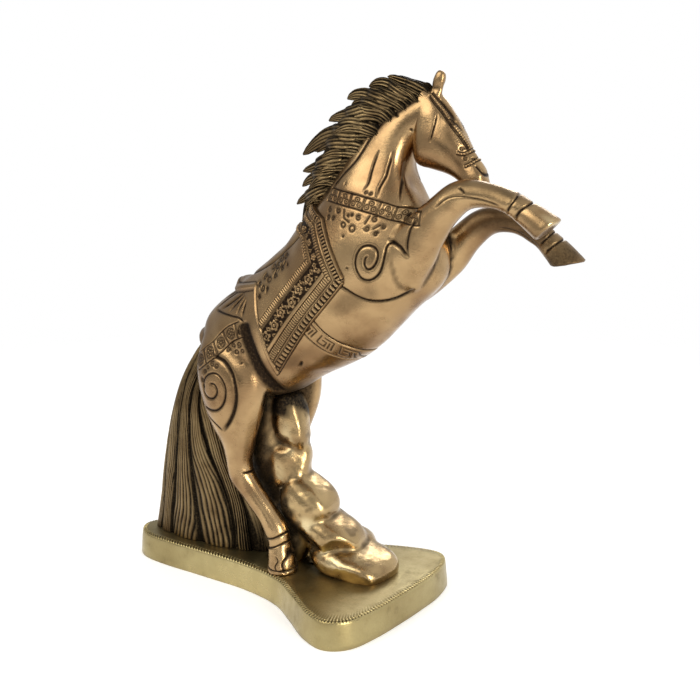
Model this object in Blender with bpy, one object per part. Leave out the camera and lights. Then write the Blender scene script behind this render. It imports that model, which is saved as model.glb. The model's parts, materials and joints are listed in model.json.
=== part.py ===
"""Brass statue of a rearing horse on a cast plinth.

Frame: +X is the way the horse faces, +Y is its left side, +Z is up. The plinth's rim stands at z = 0.
Sizes are in millimetres and become metres as meshes are made. Heights of the figure start at the deck.
The drawing's zero is moved by DRAWING_SHIFT, so that the origin lies below the middle of the overall box.
"""

import math

import bmesh
import bpy
from mathutils import Euler, Vector, geometry

MM = 0.001
CLEARANCE = 0.3
DRAWING_SHIFT = (1.11, 0.355, 0.0)

# Plinth
BASE_HEIGHT = 17.0
BASE_WALL = 4.0
BASE_DRAFT = 1.2
BASE_EDGE_RADIUS = 1.8
BASE_RIM_CHAMFER = 0.6
BASE_FILLET_STEPS = 3
BASE_OUTLINE_STEPS = 4
BASE_OUTLINE = (
    (-147, 6), (-144, -5), (-133, -13), (-112, -16.5), (-76, -18.5), (-44, -21.5), (-20, -28.5), (0, -42),
    (17, -55), (33, -60.5), (46, -52), (53, -31), (57.5, -4), (60.5, 26), (57.5, 49), (46, 59.5), (22, 56),
    (-8, 45), (-40, 35), (-80, 30), (-118, 28), (-138, 20),
)

# Fixings below the plinth
SCREW_DIAMETER = 5.0
SCREW_GRIP = 7.0
SCREW_HEAD_ACROSS = 8.0
SCREW_HEAD_HEIGHT = 3.5
WASHER_DIAMETER = 11.0
WASHER_THICKNESS = 1.0
SCREW_SIDES = 16
SCREW_HEAD_SIDES = 6
WASHER_SIDES = 32
SCREW_PLACES = {"front": (16.0, 8.0), "middle": (-26.0, 8.0), "tail": (-96.0, 6.5)}

# Trunk: back line x and z, belly line x and z, half width
TRUNK_WALL = 4.0
HOLLOW_RINGS = slice(2, -3)
TRUNK_SECTIONS = (
    (-82.5, 143, -70, 118, 15), (-78.5, 153.5, -48, 103, 23), (-68.3, 162.2, -20, 109, 27),
    (-53, 172, 0, 121, 28), (-36, 183, 16, 129, 28.5), (-19.5, 196.5, 34, 141, 29),
    (-8, 211.5, 56, 163, 29), (0, 224, 73, 180, 27.5), (8, 235, 74.5, 197, 24.5),
    (17, 248, 67.5, 212, 19.5), (28, 261, 60.5, 224, 15.5), (41, 271, 54, 236, 12.5),
    (53, 277, 55, 250, 10), (62, 279, 64, 260, 7.5),
)

# Head: brow line x and z, jaw line x and z, half width
HEAD_SECTIONS = (
    (63, 281, 56, 266, 6.5), (69.5, 278.5, 55, 252, 8.5), (75, 272.5, 57, 242.5, 9.6),
    (81, 263.5, 66.5, 239.5, 9), (86, 254.5, 74, 237.5, 7.8), (90.5, 247.5, 80, 234.5, 6.6),
    (95.2, 241, 85, 230, 6.8), (97, 235.5, 90, 227.5, 5.6),
)

# Ears: they stand on the brow line at one of the head's sections, sunk by an inset
EAR_SECTION = 1
EAR_INSET = 5.7
EAR_LENGTH = 15.2
EAR_LEAN = 15.5
EAR_SPREAD = 3.0
EAR_RADIUS = 3.0
EAR_SET_BACK = 3.0
EAR_SHARES = ((0.0, 0.8), (0.45, 1.0), (0.82, 0.75), (1.0, 0.25))

# Legs: centre x, z and distance from the middle plane, half depth, half width
FORELEG_RIGHT = (
    (53, 188, 13, 17, 10), (62, 198, 15.5, 14.5, 10.5), (70.5, 208, 17, 11.4, 9.5),
    (79.5, 218.2, 18, 9.2, 8.3), (88.4, 226, 18.5, 8.2, 7.8), (96.4, 228.5, 18.5, 7.2, 7.2),
    (105.4, 227.8, 18.5, 6.2, 6.2), (113, 226.2, 18.5, 5.8, 6), (118.8, 224.2, 18.5, 6, 6.6),
    (123.9, 220.9, 18.5, 6.3, 6.6), (129.8, 216.9, 18.5, 7, 7.6), (134.8, 213.5, 18.5, 7.4, 8),
    (139.6, 210.4, 18.5, 7.9, 8.2),
)
FORELEG_LEFT = (
    (50, 180, 13, 15, 10), (59, 185, 15.5, 13, 10.5), (68.5, 192.2, 17, 10.8, 9.5),
    (77.6, 201.8, 18, 8.9, 8.3), (86.6, 210, 18.5, 8, 7.8), (95.2, 213.2, 18.5, 7.1, 7.2),
    (104.6, 212.6, 18.5, 6.1, 6.2), (111.8, 210.4, 18.5, 5.9, 6), (117.4, 207.6, 18.5, 6.2, 6.6),
    (122.3, 204.5, 18.5, 6.2, 6.6), (128.3, 199, 18.5, 7, 7.6), (134, 193.1, 18.5, 7.7, 8.2),
    (139.4, 187.5, 18.5, 8.3, 8.6),
)

# Soles of the lifted hooves: middle x and z, and the way each one faces
SOLE_RIGHT = ((136.1, 211.6), (0.66, -0.75))
SOLE_LEFT = ((136, 191.8), (0.19, -0.98))
SOLE_CUT_SIZE = 34.0

HINDLEG_RIGHT = (
    (-55, 143, 12, 22, 11), (-54.5, 125, 17, 24, 13), (-54, 107, 18, 22, 13), (-53, 91, 18, 17, 11.5),
    (-51.5, 77, 17.5, 11, 9.3), (-52, 65, 17, 8.2, 8), (-49.5, 55, 16.5, 7.6, 7.6), (-42, 45, 16, 6.9, 7),
    (-33.5, 35, 15.5, 6.5, 6.7), (-27, 26, 15, 7.3, 7.6), (-24.5, 19, 15, 6.6, 7), (-24, 13, 15, 7.4, 8),
    (-23, 6.5, 15, 8.6, 9), (-22.5, 0, 15, 9.4, 10),
)
HINDLEG_LEFT = (
    (-48, 143, 12, 22, 11), (-40.5, 125, 17, 24, 13), (-37.5, 107, 18, 22, 13), (-36.5, 91, 18, 17, 11.5),
    (-36.5, 77, 18, 11, 9.3), (-38, 65, 18, 8.2, 8), (-35, 55, 18.5, 7.6, 7.6), (-27, 45, 19, 6.9, 7),
    (-19, 35, 20, 6.5, 6.7), (-12.5, 26, 21, 7.3, 7.6), (-10.5, 19, 21.5, 6.6, 7), (-10, 13, 22, 7.4, 8),
    (-9, 6.5, 22, 8.6, 9), (-8.5, 0, 22, 9.4, 10),
)

# Tail: outer edge x and z, inner edge x and z, half width, middle y
TAIL_SECTIONS = (
    (-78, 142, -70, 133, 6, 0), (-88, 133, -75, 122, 8, 0), (-98.5, 120, -77, 109, 10, 0.5),
    (-108, 105, -79, 95, 11.5, 1.5), (-116.5, 86, -77, 80, 12.5, 3), (-123, 65, -70, 61, 13, 4),
    (-128.5, 43, -60, 41, 13, 5), (-133, 21, -51, 21, 13.5, 6), (-138, 0, -44.5, 0, 14, 6.5),
)
# The cuts between its locks: share of the way round, and the share, number and phase of its waves
TAIL_CUTS = (
    (0.000, 0.010, 0.9, 0.10), (0.090, 0.016, 1.1, 0.55), (0.165, 0.010, 1.2, 0.20), (0.250, 0.018, 0.8, 0.75),
    (0.335, 0.010, 1.2, 0.40), (0.420, 0.013, 1.0, 0.05), (0.505, 0.009, 1.3, 0.60), (0.585, 0.014, 0.9, 0.30),
    (0.665, 0.019, 1.1, 0.85), (0.750, 0.011, 1.0, 0.45), (0.835, 0.018, 1.2, 0.15), (0.915, 0.012, 1.0, 0.70),
)
TAIL_CUT_DEPTH = 1.8
TAIL_CUT_START = 0.3
TAIL_LOCK_SHARES = ((0.0, 1.0), (0.16, 0.3), (0.5, 0.0), (0.84, 0.3))
TAIL_SPAN_STEPS = 3

# Mane: front edge x and z, outer edge x and z, half width
MANE_SECTIONS = (
    (64, 280, 61, 284, 3), (54, 273, 52, 284, 7), (43, 267, 38, 282, 9.5), (32, 260, 21, 273, 11.5),
    (22, 249, 9, 260, 12.5), (13, 236, -1, 245, 12.5), (6, 224, -7, 231, 11), (-4, 212, -13, 220, 7),
    (-10, 205, -15, 210, 4),
)

# Locks, a layer on each side: root x and z, middle x and z, tip x and z, half width, the root's place in y
LOCK_HALF_THICKNESS = 1.8
LOCK_TIP_PLACE = 2.5
LOCK_LAYERS = ((-1, 1.0), (1, 0.93))
LOCK_SHARES = (
    (0.0, 0.6, 1.0), (0.22, 0.95, 1.0), (0.45, 1.0, 0.95), (0.68, 0.75, 0.8), (0.87, 0.42, 0.6),
    (1.0, 0.14, 0.4),
)
LOCKS = (
    (64, 278, 53, 283.5, 40, 286, 3, 2.5), (59, 273, 44, 281, 29, 282.5, 4.2, 5),
    (52, 268, 34, 277, 16.5, 274.5, 5.2, 6.5), (44, 263, 26, 269.5, 5, 263, 5.2, 8),
    (36, 255, 14, 257, -14, 248.5, 5.6, 9.5), (28, 245, 9, 244.5, -12.5, 236, 4.8, 10),
    (23, 237, 6, 236, -13.5, 228.5, 4.4, 10), (18, 230, 2, 228, -16.5, 217.5, 4.2, 10),
    (11, 223, -1, 219.5, -12.5, 211.5, 3.4, 9),
)

# Saddle cloth: its outline from the side, and the raised cantle on the back
CLOTH_THICKNESS = 2.2
CLOTH_REACH = 60.0
CLOTH_OUTLINE = (
    (-14, 226), (12, 213), (28, 183), (28, 180), (6, 155), (-20, 123), (-27, 149), (-34, 171), (-54, 167),
    (-70, 185),
)
CLOTH_RIDGE_HEIGHT = 0.7
CLOTH_FRONT_EDGE = ((-14, 226), (12, 213), (28, 183))
CLOTH_FOOT_EDGE = ((28, 180), (6, 155), (-20, 123))
CLOTH_FRONT_RIDGES = ((5.8, 8.4), (14.6, 17.2))
CLOTH_FOOT_RIDGES = ((5.6, 11.4), (20.8, 24.4))
CANTLE_CENTRE = (-53.5, 173.5)
CANTLE_HALF_SIZE = (9.5, 15.0, 3.4)
CANTLE_TILT = 14.0
CANTLE_SEGMENTS = (14, 8)

# Rocks: centre and half size, then each one's tilts in degrees
ROCK_BLUNTNESS = 3.2
ROCK_FACETS = 4
ROCKS = (
    ((-25.5, 2, 89), (10, 10, 19)), ((-28, 3, 62), (13, 11, 17)), ((-16, 4, 39), (18, 16, 15)),
    ((-3, 7, 22), (23, 18, 11)), ((13, 9, 5), (27, 22, 10.5)), ((-40, 6, 62), (13.5, 13.5, 36)),
    ((-30, 7, 22), (17, 13, 26)), ((2, 20, 8), (18, 14, 13)),
)
ROCK_TILTS = (
    (0, -6, 10), (0, 8, 15), (0, 34, 0), (0, 26, 4), (0, 10, -8), (0, 4, 0), (0, 6, 0), (0, 12, 20),
)

# Smoothness
SHARP_ANGLE = 40.0
DOME_SHARES = ((0.42, 0.80), (0.68, 0.42))
SPAN_STEPS = 2
TRUNK_SIDES = 28
HEAD_SIDES = 18
EAR_SIDES = 8
LIMB_SIDES = 14
MANE_SIDES = 14
LOCK_SIDES = 10

# Finishes: colour, roughness, metallic
BRASS_POLISHED = ((0.46, 0.28, 0.12), 0.22, 1.0)
BRASS_ANTIQUE = ((0.20, 0.12, 0.05), 0.42, 1.0)
BRASS_SATIN = ((0.36, 0.27, 0.10), 0.40, 1.0)
STEEL = ((0.42, 0.42, 0.44), 0.35, 1.0)

DECK = BASE_HEIGHT + CLEARANCE
DECK_CUT_SIZE = 700.0


def clear_scene():
    for item in list(bpy.data.objects):
        bpy.data.objects.remove(item, do_unlink=True)


def material(name, finish):
    """Metal with one colour, roughness and metallic value."""
    colour, roughness, metallic = finish
    made = bpy.data.materials.new(name)
    made.use_nodes = True
    shader = made.node_tree.nodes["Principled BSDF"]
    shader.inputs["Base Color"].default_value = (*colour, 1.0)
    shader.inputs["Roughness"].default_value = roughness
    shader.inputs["Metallic"].default_value = metallic
    return made


def object_from_bmesh(name, shape, finish=None, smooth=True):
    """Object in metres from a bmesh in millimetres, with its faces turned outwards."""
    bmesh.ops.recalc_face_normals(shape, faces=shape.faces)
    for vertex in shape.verts:
        vertex.co = (vertex.co + Vector(DRAWING_SHIFT)) * MM
    mesh = bpy.data.meshes.new(name)
    shape.to_mesh(mesh)
    shape.free()
    if smooth:
        mesh.shade_smooth()
        mesh.set_sharp_from_angle(angle=math.radians(SHARP_ANGLE))
    item = bpy.data.objects.new(name, mesh)
    bpy.context.collection.objects.link(item)
    if finish:
        mesh.materials.append(material(name + "_finish", finish))
    else:
        item.hide_render = True
        item.display_type = "WIRE"
    return item


def combine(target, other, operation, solver="EXACT"):
    """Boolean modifier on target; the other object stays behind as a guide."""
    modifier = target.modifiers.new(operation.lower() + "_" + other.name, "BOOLEAN")
    modifier.operation = operation
    modifier.solver = solver
    modifier.object = other


def spline_row(rows, t):
    """Row at share t of the way from the second to the third of four rows, on a smooth curve."""
    return tuple(
        0.5 * (2 * b + (c - a) * t + (2 * a - 5 * b + 4 * c - d) * t * t + (3 * b - a - 3 * c + d) * t ** 3)
        for a, b, c, d in zip(*rows))


def smooth_rows(rows, span_steps=SPAN_STEPS):
    """Rows of numbers on a smooth curve through the given rows."""
    result = []
    last = len(rows) - 1
    for index in range(last):
        window = (rows[max(index - 1, 0)], rows[index], rows[index + 1], rows[min(index + 2, last)])
        for step in range(span_steps):
            result.append(spline_row(window, step / span_steps))
    result.append(tuple(float(value) for value in rows[last]))
    return result


def rings_from_edges(sections, span_steps=SPAN_STEPS):
    """Rings as centre, half depth vector and half width, from two edge lines seen from the side."""
    rings = []
    for row in smooth_rows(sections, span_steps):
        first_x, first_z, second_x, second_z, half_width = row[:5]
        middle = row[5] if len(row) > 5 else 0.0
        first = Vector((first_x, middle, first_z + DECK))
        second = Vector((second_x, middle, second_z + DECK))
        rings.append(((first + second) / 2, (first - second) / 2, half_width))
    return rings


def rings_from_spine(stations, side, flat_end):
    """Rings square to a spine; side is -1 for the right legs and 1 for the left ones."""
    rows = smooth_rows(stations)
    rings = []
    for index, (x, z, offset, half_depth, half_width) in enumerate(rows):
        ahead = rows[min(index + 1, len(rows) - 1)]
        behind = rows[max(index - 1, 0)]
        run = Vector((ahead[0] - behind[0], 0, ahead[1] - behind[1])).normalized()
        if flat_end and index == len(rows) - 1:
            run = Vector((0, 0, -1))
        across = Vector((-run.z, 0, run.x))
        rings.append((Vector((x, side * offset, z + DECK)), across * half_depth, half_width))
    return rings


def ring_point(ring, turn, grow):
    """Point on an elliptical ring at a share of a turn."""
    centre, depth, half_width = ring
    angle = 2 * math.pi * turn
    return (centre + depth.normalized() * ((depth.length + grow) * math.cos(angle))
            + Vector((0, (half_width + grow) * math.sin(angle), 0)))


def dome_rings(ring, outward):
    """Two smaller rings that round off the end of a loft."""
    centre, depth, half_width = ring
    reach = min(depth.length, half_width)
    return [(centre + outward * reach * rise, depth * size, half_width * size)
            for rise, size in DOME_SHARES]


def skin_loops(shape, loops):
    """Closed skin over loops of corners, with both ends filled."""
    count = len(loops[0])
    for lower, upper in zip(loops, loops[1:]):
        for index in range(count):
            following = (index + 1) % count
            shape.faces.new((lower[index], lower[following], upper[following], upper[index]))
    shape.faces.new(loops[0])
    shape.faces.new(loops[-1])


def loft(name, rings, sides, finish=None, grow=0.0, dome_end=True):
    """Closed skin through rings, rounded at the start, and rounded or flat at the end."""
    start = dome_rings(rings[0], (rings[0][0] - rings[1][0]).normalized())[::-1]
    end = dome_rings(rings[-1], (rings[-1][0] - rings[-2][0]).normalized()) if dome_end else []
    shape = bmesh.new()
    loops = []
    for ring in start + list(rings) + end:
        loops.append([shape.verts.new(ring_point(ring, index / sides, grow)) for index in range(sides)])
    skin_loops(shape, loops)
    return object_from_bmesh(name, shape, finish)


def tube(name, points, radii, sides):
    """Round guide along points in space, with a radius for each point."""
    shape = bmesh.new()
    loops = []
    for index, point in enumerate(points):
        ahead = points[min(index + 1, len(points) - 1)]
        behind = points[max(index - 1, 0)]
        run = (ahead - behind).normalized()
        side = run.cross(Vector((0, 1, 0))).normalized()
        up = side.cross(run)
        loop = []
        for step in range(sides):
            angle = 2 * math.pi * step / sides
            spoke = side * math.cos(angle) + up * math.sin(angle)
            loop.append(shape.verts.new(point + spoke * radii[index]))
        loops.append(loop)
    skin_loops(shape, loops)
    return object_from_bmesh(name, shape)


def cylinder(name, place, radius, low, high, sides=SCREW_SIDES, finish=None):
    """Upright cylinder between two heights."""
    shape = bmesh.new()
    bmesh.ops.create_cone(shape, cap_ends=True, segments=sides, radius1=radius, radius2=radius,
                          depth=high - low)
    bmesh.ops.translate(shape, verts=shape.verts, vec=(*place, (low + high) / 2))
    return object_from_bmesh(name, shape, finish)


def cloth_prism(name, outline=CLOTH_OUTLINE):
    """Guide with an outline from the side, from one side of the middle plane to the other."""
    shape = bmesh.new()
    skin_loops(shape, [[shape.verts.new((x, y, z + DECK)) for x, z in outline]
                       for y in (-CLOTH_REACH, CLOTH_REACH)])
    return object_from_bmesh(name, shape)


def line_inside(line, inset):
    """Open line moved to its right, with square joints."""
    points = [Vector(point) for point in line]
    runs = [(after - before).normalized() for before, after in zip(points, points[1:])]
    moved = []
    for index, point in enumerate(points):
        before = runs[max(index - 1, 0)]
        after = runs[min(index, len(runs) - 1)]
        right = Vector((before.y + after.y, -before.x - after.x)).normalized()
        moved.append(point + right * (inset / right.dot(Vector((after.y, -after.x)))))
    return moved


def cloth_ridge_outline(front_inset, foot_inset):
    """Line that follows the front and foot edges of the cloth inside them, square where they meet."""
    front = line_inside(CLOTH_FRONT_EDGE, front_inset)
    foot = line_inside(CLOTH_FOOT_EDGE, foot_inset)
    corner = geometry.intersect_line_line_2d(front[-2], front[-1], foot[0], foot[1])
    return front[:-1] + [corner] + foot[1:]


def closed_outline(points):
    """Smooth closed outline in plan."""
    count = len(points)
    outline = []
    for index in range(count):
        window = [points[(index + shift) % count] for shift in (-1, 0, 1, 2)]
        for step in range(BASE_OUTLINE_STEPS):
            outline.append(Vector(spline_row(window, step / BASE_OUTLINE_STEPS)))
    return outline


def inset_outline(outline, distance):
    """Outline moved inwards by a distance; points run anticlockwise."""
    count = len(outline)
    moved = []
    for index, point in enumerate(outline):
        run = (outline[(index + 1) % count] - outline[index - 1]).normalized()
        moved.append(point + Vector((-run.y, run.x)) * distance)
    return moved


def screw_bore(name, place):
    """Guide for a clearance bore through the deck and a blind bore above it."""
    bore = SCREW_DIAMETER / 2 + CLEARANCE
    return cylinder(name, place, bore, BASE_HEIGHT - 2 * BASE_WALL, BASE_HEIGHT + SCREW_GRIP + CLEARANCE)


def build_base(bores):
    """Plinth: deck, drafted skirt with rounded edge, and open underside."""
    layers = [(BASE_WALL + BASE_DRAFT, BASE_HEIGHT - BASE_WALL), (BASE_WALL, 0.0), (BASE_RIM_CHAMFER, 0.0),
              (0.0, BASE_RIM_CHAMFER)]
    for step in range(BASE_FILLET_STEPS + 1):
        angle = math.radians(90) * step / BASE_FILLET_STEPS
        layers.append((BASE_DRAFT + BASE_EDGE_RADIUS * (1 - math.cos(angle)),
                       BASE_HEIGHT - BASE_EDGE_RADIUS * (1 - math.sin(angle))))
    outline = closed_outline(BASE_OUTLINE)
    shape = bmesh.new()
    skin_loops(shape, [[shape.verts.new((*point, height)) for point in inset_outline(outline, inset)]
                       for inset, height in layers])
    base = object_from_bmesh("base_plate", shape, BRASS_SATIN)
    for bore in bores:
        combine(base, bore, "DIFFERENCE")


def build_fixings():
    """Screws with hexagon heads and their washers, one of each at each place."""
    bores = {}
    washer_top = BASE_HEIGHT - BASE_WALL - CLEARANCE
    washer_low = washer_top - WASHER_THICKNESS
    head_top = washer_low - CLEARANCE
    head_radius = SCREW_HEAD_ACROSS / math.sqrt(3)
    for label, place in SCREW_PLACES.items():
        bores[label] = screw_bore("bore_" + label, place)
        screw = cylinder("base_screw_" + label, place, head_radius, head_top - SCREW_HEAD_HEIGHT, head_top,
                         SCREW_HEAD_SIDES, STEEL)
        shank = cylinder("shank_" + label, place, SCREW_DIAMETER / 2, head_top - SCREW_HEAD_HEIGHT / 2,
                         BASE_HEIGHT + SCREW_GRIP)
        combine(screw, shank, "UNION")
        washer = cylinder("base_washer_" + label, place, WASHER_DIAMETER / 2, washer_low, washer_top,
                          WASHER_SIDES, STEEL)
        combine(washer, bores[label], "DIFFERENCE")
    return bores


def keep_side(mesh, side):
    """Keep what lies on one side of the middle plane, less half a clearance, and close the cut."""
    shape = bmesh.new()
    shape.from_mesh(mesh)
    plane = Vector((0, side * CLEARANCE / 2, 0)) + Vector(DRAWING_SHIFT)
    cut = bmesh.ops.bisect_plane(
        shape, geom=shape.verts[:] + shape.edges[:] + shape.faces[:],
        plane_co=plane * MM, plane_no=(0, -side, 0), clear_outer=True)
    rim = [part for part in cut["geom_cut"] if isinstance(part, bmesh.types.BMEdge)]
    bmesh.ops.edgeloop_fill(shape, edges=rim)
    bmesh.ops.recalc_face_normals(shape, faces=shape.faces)
    shape.to_mesh(mesh)
    shape.free()


def build_trunk(rings):
    """Barrel and neck as two shells that meet at the middle plane."""
    inner = loft("trunk_hollow", rings[HOLLOW_RINGS], TRUNK_SIDES, grow=-TRUNK_WALL)
    for name, side in (("trunk_right_half", -1), ("trunk_left_half", 1)):
        half = loft(name, rings, TRUNK_SIDES, BRASS_POLISHED)
        keep_side(half.data, side)
        combine(half, inner, "DIFFERENCE")


def build_head(trunk_clear):
    """Head with both ears, with a socket for the top of the neck, and guides that clear it."""
    rings = rings_from_edges(HEAD_SECTIONS)
    head = loft("head", rings, HEAD_SIDES, BRASS_POLISHED)
    guides = [loft("head_clear", rings, HEAD_SIDES, grow=CLEARANCE)]
    brow_x, brow_z, jaw_x, jaw_z = HEAD_SECTIONS[EAR_SECTION][:4]
    up = Vector((brow_x - jaw_x, 0, brow_z - jaw_z)).normalized()
    root = Vector((brow_x, 0, brow_z + DECK)) - up * EAR_INSET
    lean = math.radians(EAR_LEAN)
    tip = root + Vector((math.sin(lean), 0, math.cos(lean))) * EAR_LENGTH
    for label, side, set_back in (("right", -1, 0.0), ("left", 1, EAR_SET_BACK)):
        spread = Vector((-set_back, side * EAR_SPREAD, 0))
        points = [root.lerp(tip, share) + spread for share, size in EAR_SHARES]
        radii = [EAR_RADIUS * size for share, size in EAR_SHARES]
        combine(head, tube("ear_" + label, points, radii, EAR_SIDES), "UNION")
        wider = [radius + CLEARANCE for radius in radii]
        guides.append(tube("ear_clear_" + label, points, wider, EAR_SIDES))
    combine(head, trunk_clear, "DIFFERENCE")
    return guides


def lock_rings(lock, side, reach):
    """Rings of a flat lock that bends through its middle point, up to a share of its length."""
    root_x, root_z, middle_x, middle_z, tip_x, tip_z, half_width, place = lock
    root = Vector((root_x, side * place, root_z + DECK))
    tip = Vector((tip_x, side * LOCK_TIP_PLACE, tip_z + DECK))
    middle = Vector((middle_x, (root.y + tip.y) / 2, middle_z + DECK))
    bend = 2 * middle - (root + tip) / 2
    rings = []
    for share, width, thickness in LOCK_SHARES:
        t = share * reach
        run = (bend - root) * (1 - t) + (tip - bend) * t
        across = Vector((-run.z, 0, run.x)).normalized()
        rings.append((root * (1 - t) ** 2 + bend * (2 * t * (1 - t)) + tip * t ** 2,
                      across * (half_width * width), LOCK_HALF_THICKNESS * thickness))
    return rings


def build_mane(cutters):
    """Crest with flat locks swept back on both sides."""
    mane = loft("mane", rings_from_edges(MANE_SECTIONS), MANE_SIDES, BRASS_ANTIQUE)
    for side, reach in LOCK_LAYERS:
        for index, lock in enumerate(LOCKS):
            name = "lock_%s_%d" % ("left" if side > 0 else "right", index + 1)
            combine(mane, loft(name, lock_rings(lock, side, reach), LOCK_SIDES), "UNION")
    for cutter in cutters:
        combine(mane, cutter, "DIFFERENCE", "MANIFOLD")


def build_saddle(trunk_rings, trunk_clear, leg_guides):
    """Cloth cut from a layer over the barrel, with the cantle's ridge, and a guide that clears it."""
    cloth = loft("saddle_cloth", trunk_rings, TRUNK_SIDES, BRASS_POLISHED, grow=CLEARANCE + CLOTH_THICKNESS)
    for index, (front, foot) in enumerate(zip(CLOTH_FRONT_RIDGES, CLOTH_FOOT_RIDGES)):
        ridge = loft("cloth_ridge_%d" % index, trunk_rings, TRUNK_SIDES,
                     grow=CLEARANCE + CLOTH_THICKNESS + CLOTH_RIDGE_HEIGHT)
        outline = cloth_ridge_outline(front[0], foot[0]) + cloth_ridge_outline(front[1], foot[1])[::-1]
        combine(ridge, cloth_prism("cloth_ridge_outline_%d" % index, outline), "INTERSECT")
        combine(cloth, ridge, "UNION")
    combine(cloth, cloth_prism("cloth_outline"), "INTERSECT")
    around, along = CANTLE_SEGMENTS
    lip = bmesh.new()
    bmesh.ops.create_uvsphere(lip, u_segments=around, v_segments=along, radius=1.0)
    bmesh.ops.scale(lip, verts=lip.verts, vec=CANTLE_HALF_SIZE)
    turn = Euler((0, math.radians(CANTLE_TILT), 0)).to_matrix()
    bmesh.ops.rotate(lip, verts=lip.verts, cent=(0, 0, 0), matrix=turn)
    bmesh.ops.translate(lip, verts=lip.verts, vec=(CANTLE_CENTRE[0], 0, CANTLE_CENTRE[1] + DECK))
    combine(cloth, object_from_bmesh("cantle_lip", lip), "UNION")
    combine(cloth, trunk_clear, "DIFFERENCE")
    for guide in leg_guides:
        combine(cloth, guide, "DIFFERENCE", "MANIFOLD")
    clear = loft("cloth_clear", trunk_rings, TRUNK_SIDES,
                 grow=2 * CLEARANCE + CLOTH_THICKNESS + CLOTH_RIDGE_HEIGHT)
    combine(clear, cloth_prism("cloth_clear_outline"), "INTERSECT")
    return clear


def build_foreleg(name, stations, side, sole, trunk_clear):
    """Foreleg coped to the trunk, with a hoof cut flat at its sole."""
    leg = loft(name, rings_from_spine(stations, side, False), LIMB_SIDES, BRASS_POLISHED)
    combine(leg, trunk_clear, "DIFFERENCE")
    middle, facing = sole
    outward = Vector((facing[0], 0, facing[1])).normalized()
    shape = bmesh.new()
    bmesh.ops.create_cube(shape, size=SOLE_CUT_SIZE)
    turn = Vector((0, 0, -1)).rotation_difference(outward).to_matrix()
    bmesh.ops.rotate(shape, verts=shape.verts, cent=(0, 0, 0), matrix=turn)
    place = Vector((middle[0], side * stations[-1][2], middle[1] + DECK)) + outward * SOLE_CUT_SIZE / 2
    bmesh.ops.translate(shape, verts=shape.verts, vec=place)
    combine(leg, object_from_bmesh(name + "_sole_cut", shape, smooth=False), "DIFFERENCE")


def build_hindleg(name, stations, side, trunk_clear):
    """Hind leg coped to the trunk, with a flat hoof on the deck, and a guide that clears it."""
    rings = rings_from_spine(stations, side, True)
    leg = loft(name, rings, LIMB_SIDES, BRASS_POLISHED, dome_end=False)
    combine(leg, trunk_clear, "DIFFERENCE")
    return loft(name + "_clear", rings, LIMB_SIDES, grow=CLEARANCE, dome_end=False)


def build_rock(cutters):
    """Pile of blocks with rounded edges, as one casting on the deck."""
    pile = None
    for index, ((centre, half), tilt) in enumerate(zip(ROCKS, ROCK_TILTS)):
        shape = bmesh.new()
        bmesh.ops.create_cube(shape, size=2.0)
        bmesh.ops.subdivide_edges(shape, edges=shape.edges[:], cuts=ROCK_FACETS - 1, use_grid_fill=True)
        for vertex in shape.verts:
            reach = sum(abs(value) ** ROCK_BLUNTNESS for value in vertex.co) ** (1 / ROCK_BLUNTNESS)
            vertex.co /= reach
        bmesh.ops.scale(shape, verts=shape.verts, vec=half)
        turn = Euler([math.radians(angle) for angle in tilt]).to_matrix()
        bmesh.ops.rotate(shape, verts=shape.verts, cent=(0, 0, 0), matrix=turn)
        bmesh.ops.translate(shape, verts=shape.verts, vec=(centre[0], centre[1], centre[2] + DECK))
        if pile is None:
            pile = object_from_bmesh("rock_support", shape, BRASS_POLISHED)
        else:
            combine(pile, object_from_bmesh("rock_block_%d" % index, shape), "UNION")
    below = bmesh.new()
    bmesh.ops.create_cube(below, size=DECK_CUT_SIZE)
    bmesh.ops.translate(below, verts=below.verts, vec=(0, 0, DECK - DECK_CUT_SIZE / 2))
    combine(pile, object_from_bmesh("deck_cut", below, smooth=False), "DIFFERENCE")
    for cutter in cutters:
        combine(pile, cutter, "DIFFERENCE")


def tail_turns(share):
    """Shares of a turn at which the cuts between the locks lie, at a share of the tail's length."""
    swing = min(1.0, share / TAIL_CUT_START)
    turns = [place + swing * sway * math.sin(2 * math.pi * (waves * share + phase))
             for place, sway, waves, phase in TAIL_CUTS]
    return turns + [turns[0] + 1]


def build_tail(cutters):
    """Tail with waved locks and a cut between each two, flat where it meets the deck."""
    rings = rings_from_edges(TAIL_SECTIONS, TAIL_SPAN_STEPS)
    shape = bmesh.new()
    loops = []
    for index, ring in enumerate(rings):
        share = index / (len(rings) - 1)
        depth = TAIL_CUT_DEPTH * min(1.0, share / TAIL_CUT_START)
        turns = tail_turns(share)
        loop = []
        for low, high in zip(turns, turns[1:]):
            for part, dent in TAIL_LOCK_SHARES:
                loop.append(shape.verts.new(ring_point(ring, low + (high - low) * part, -depth * dent)))
        loops.append(loop)
    skin_loops(shape, loops)
    tail = object_from_bmesh("tail", shape, BRASS_ANTIQUE)
    for cutter in cutters:
        combine(tail, cutter, "DIFFERENCE")


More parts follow.
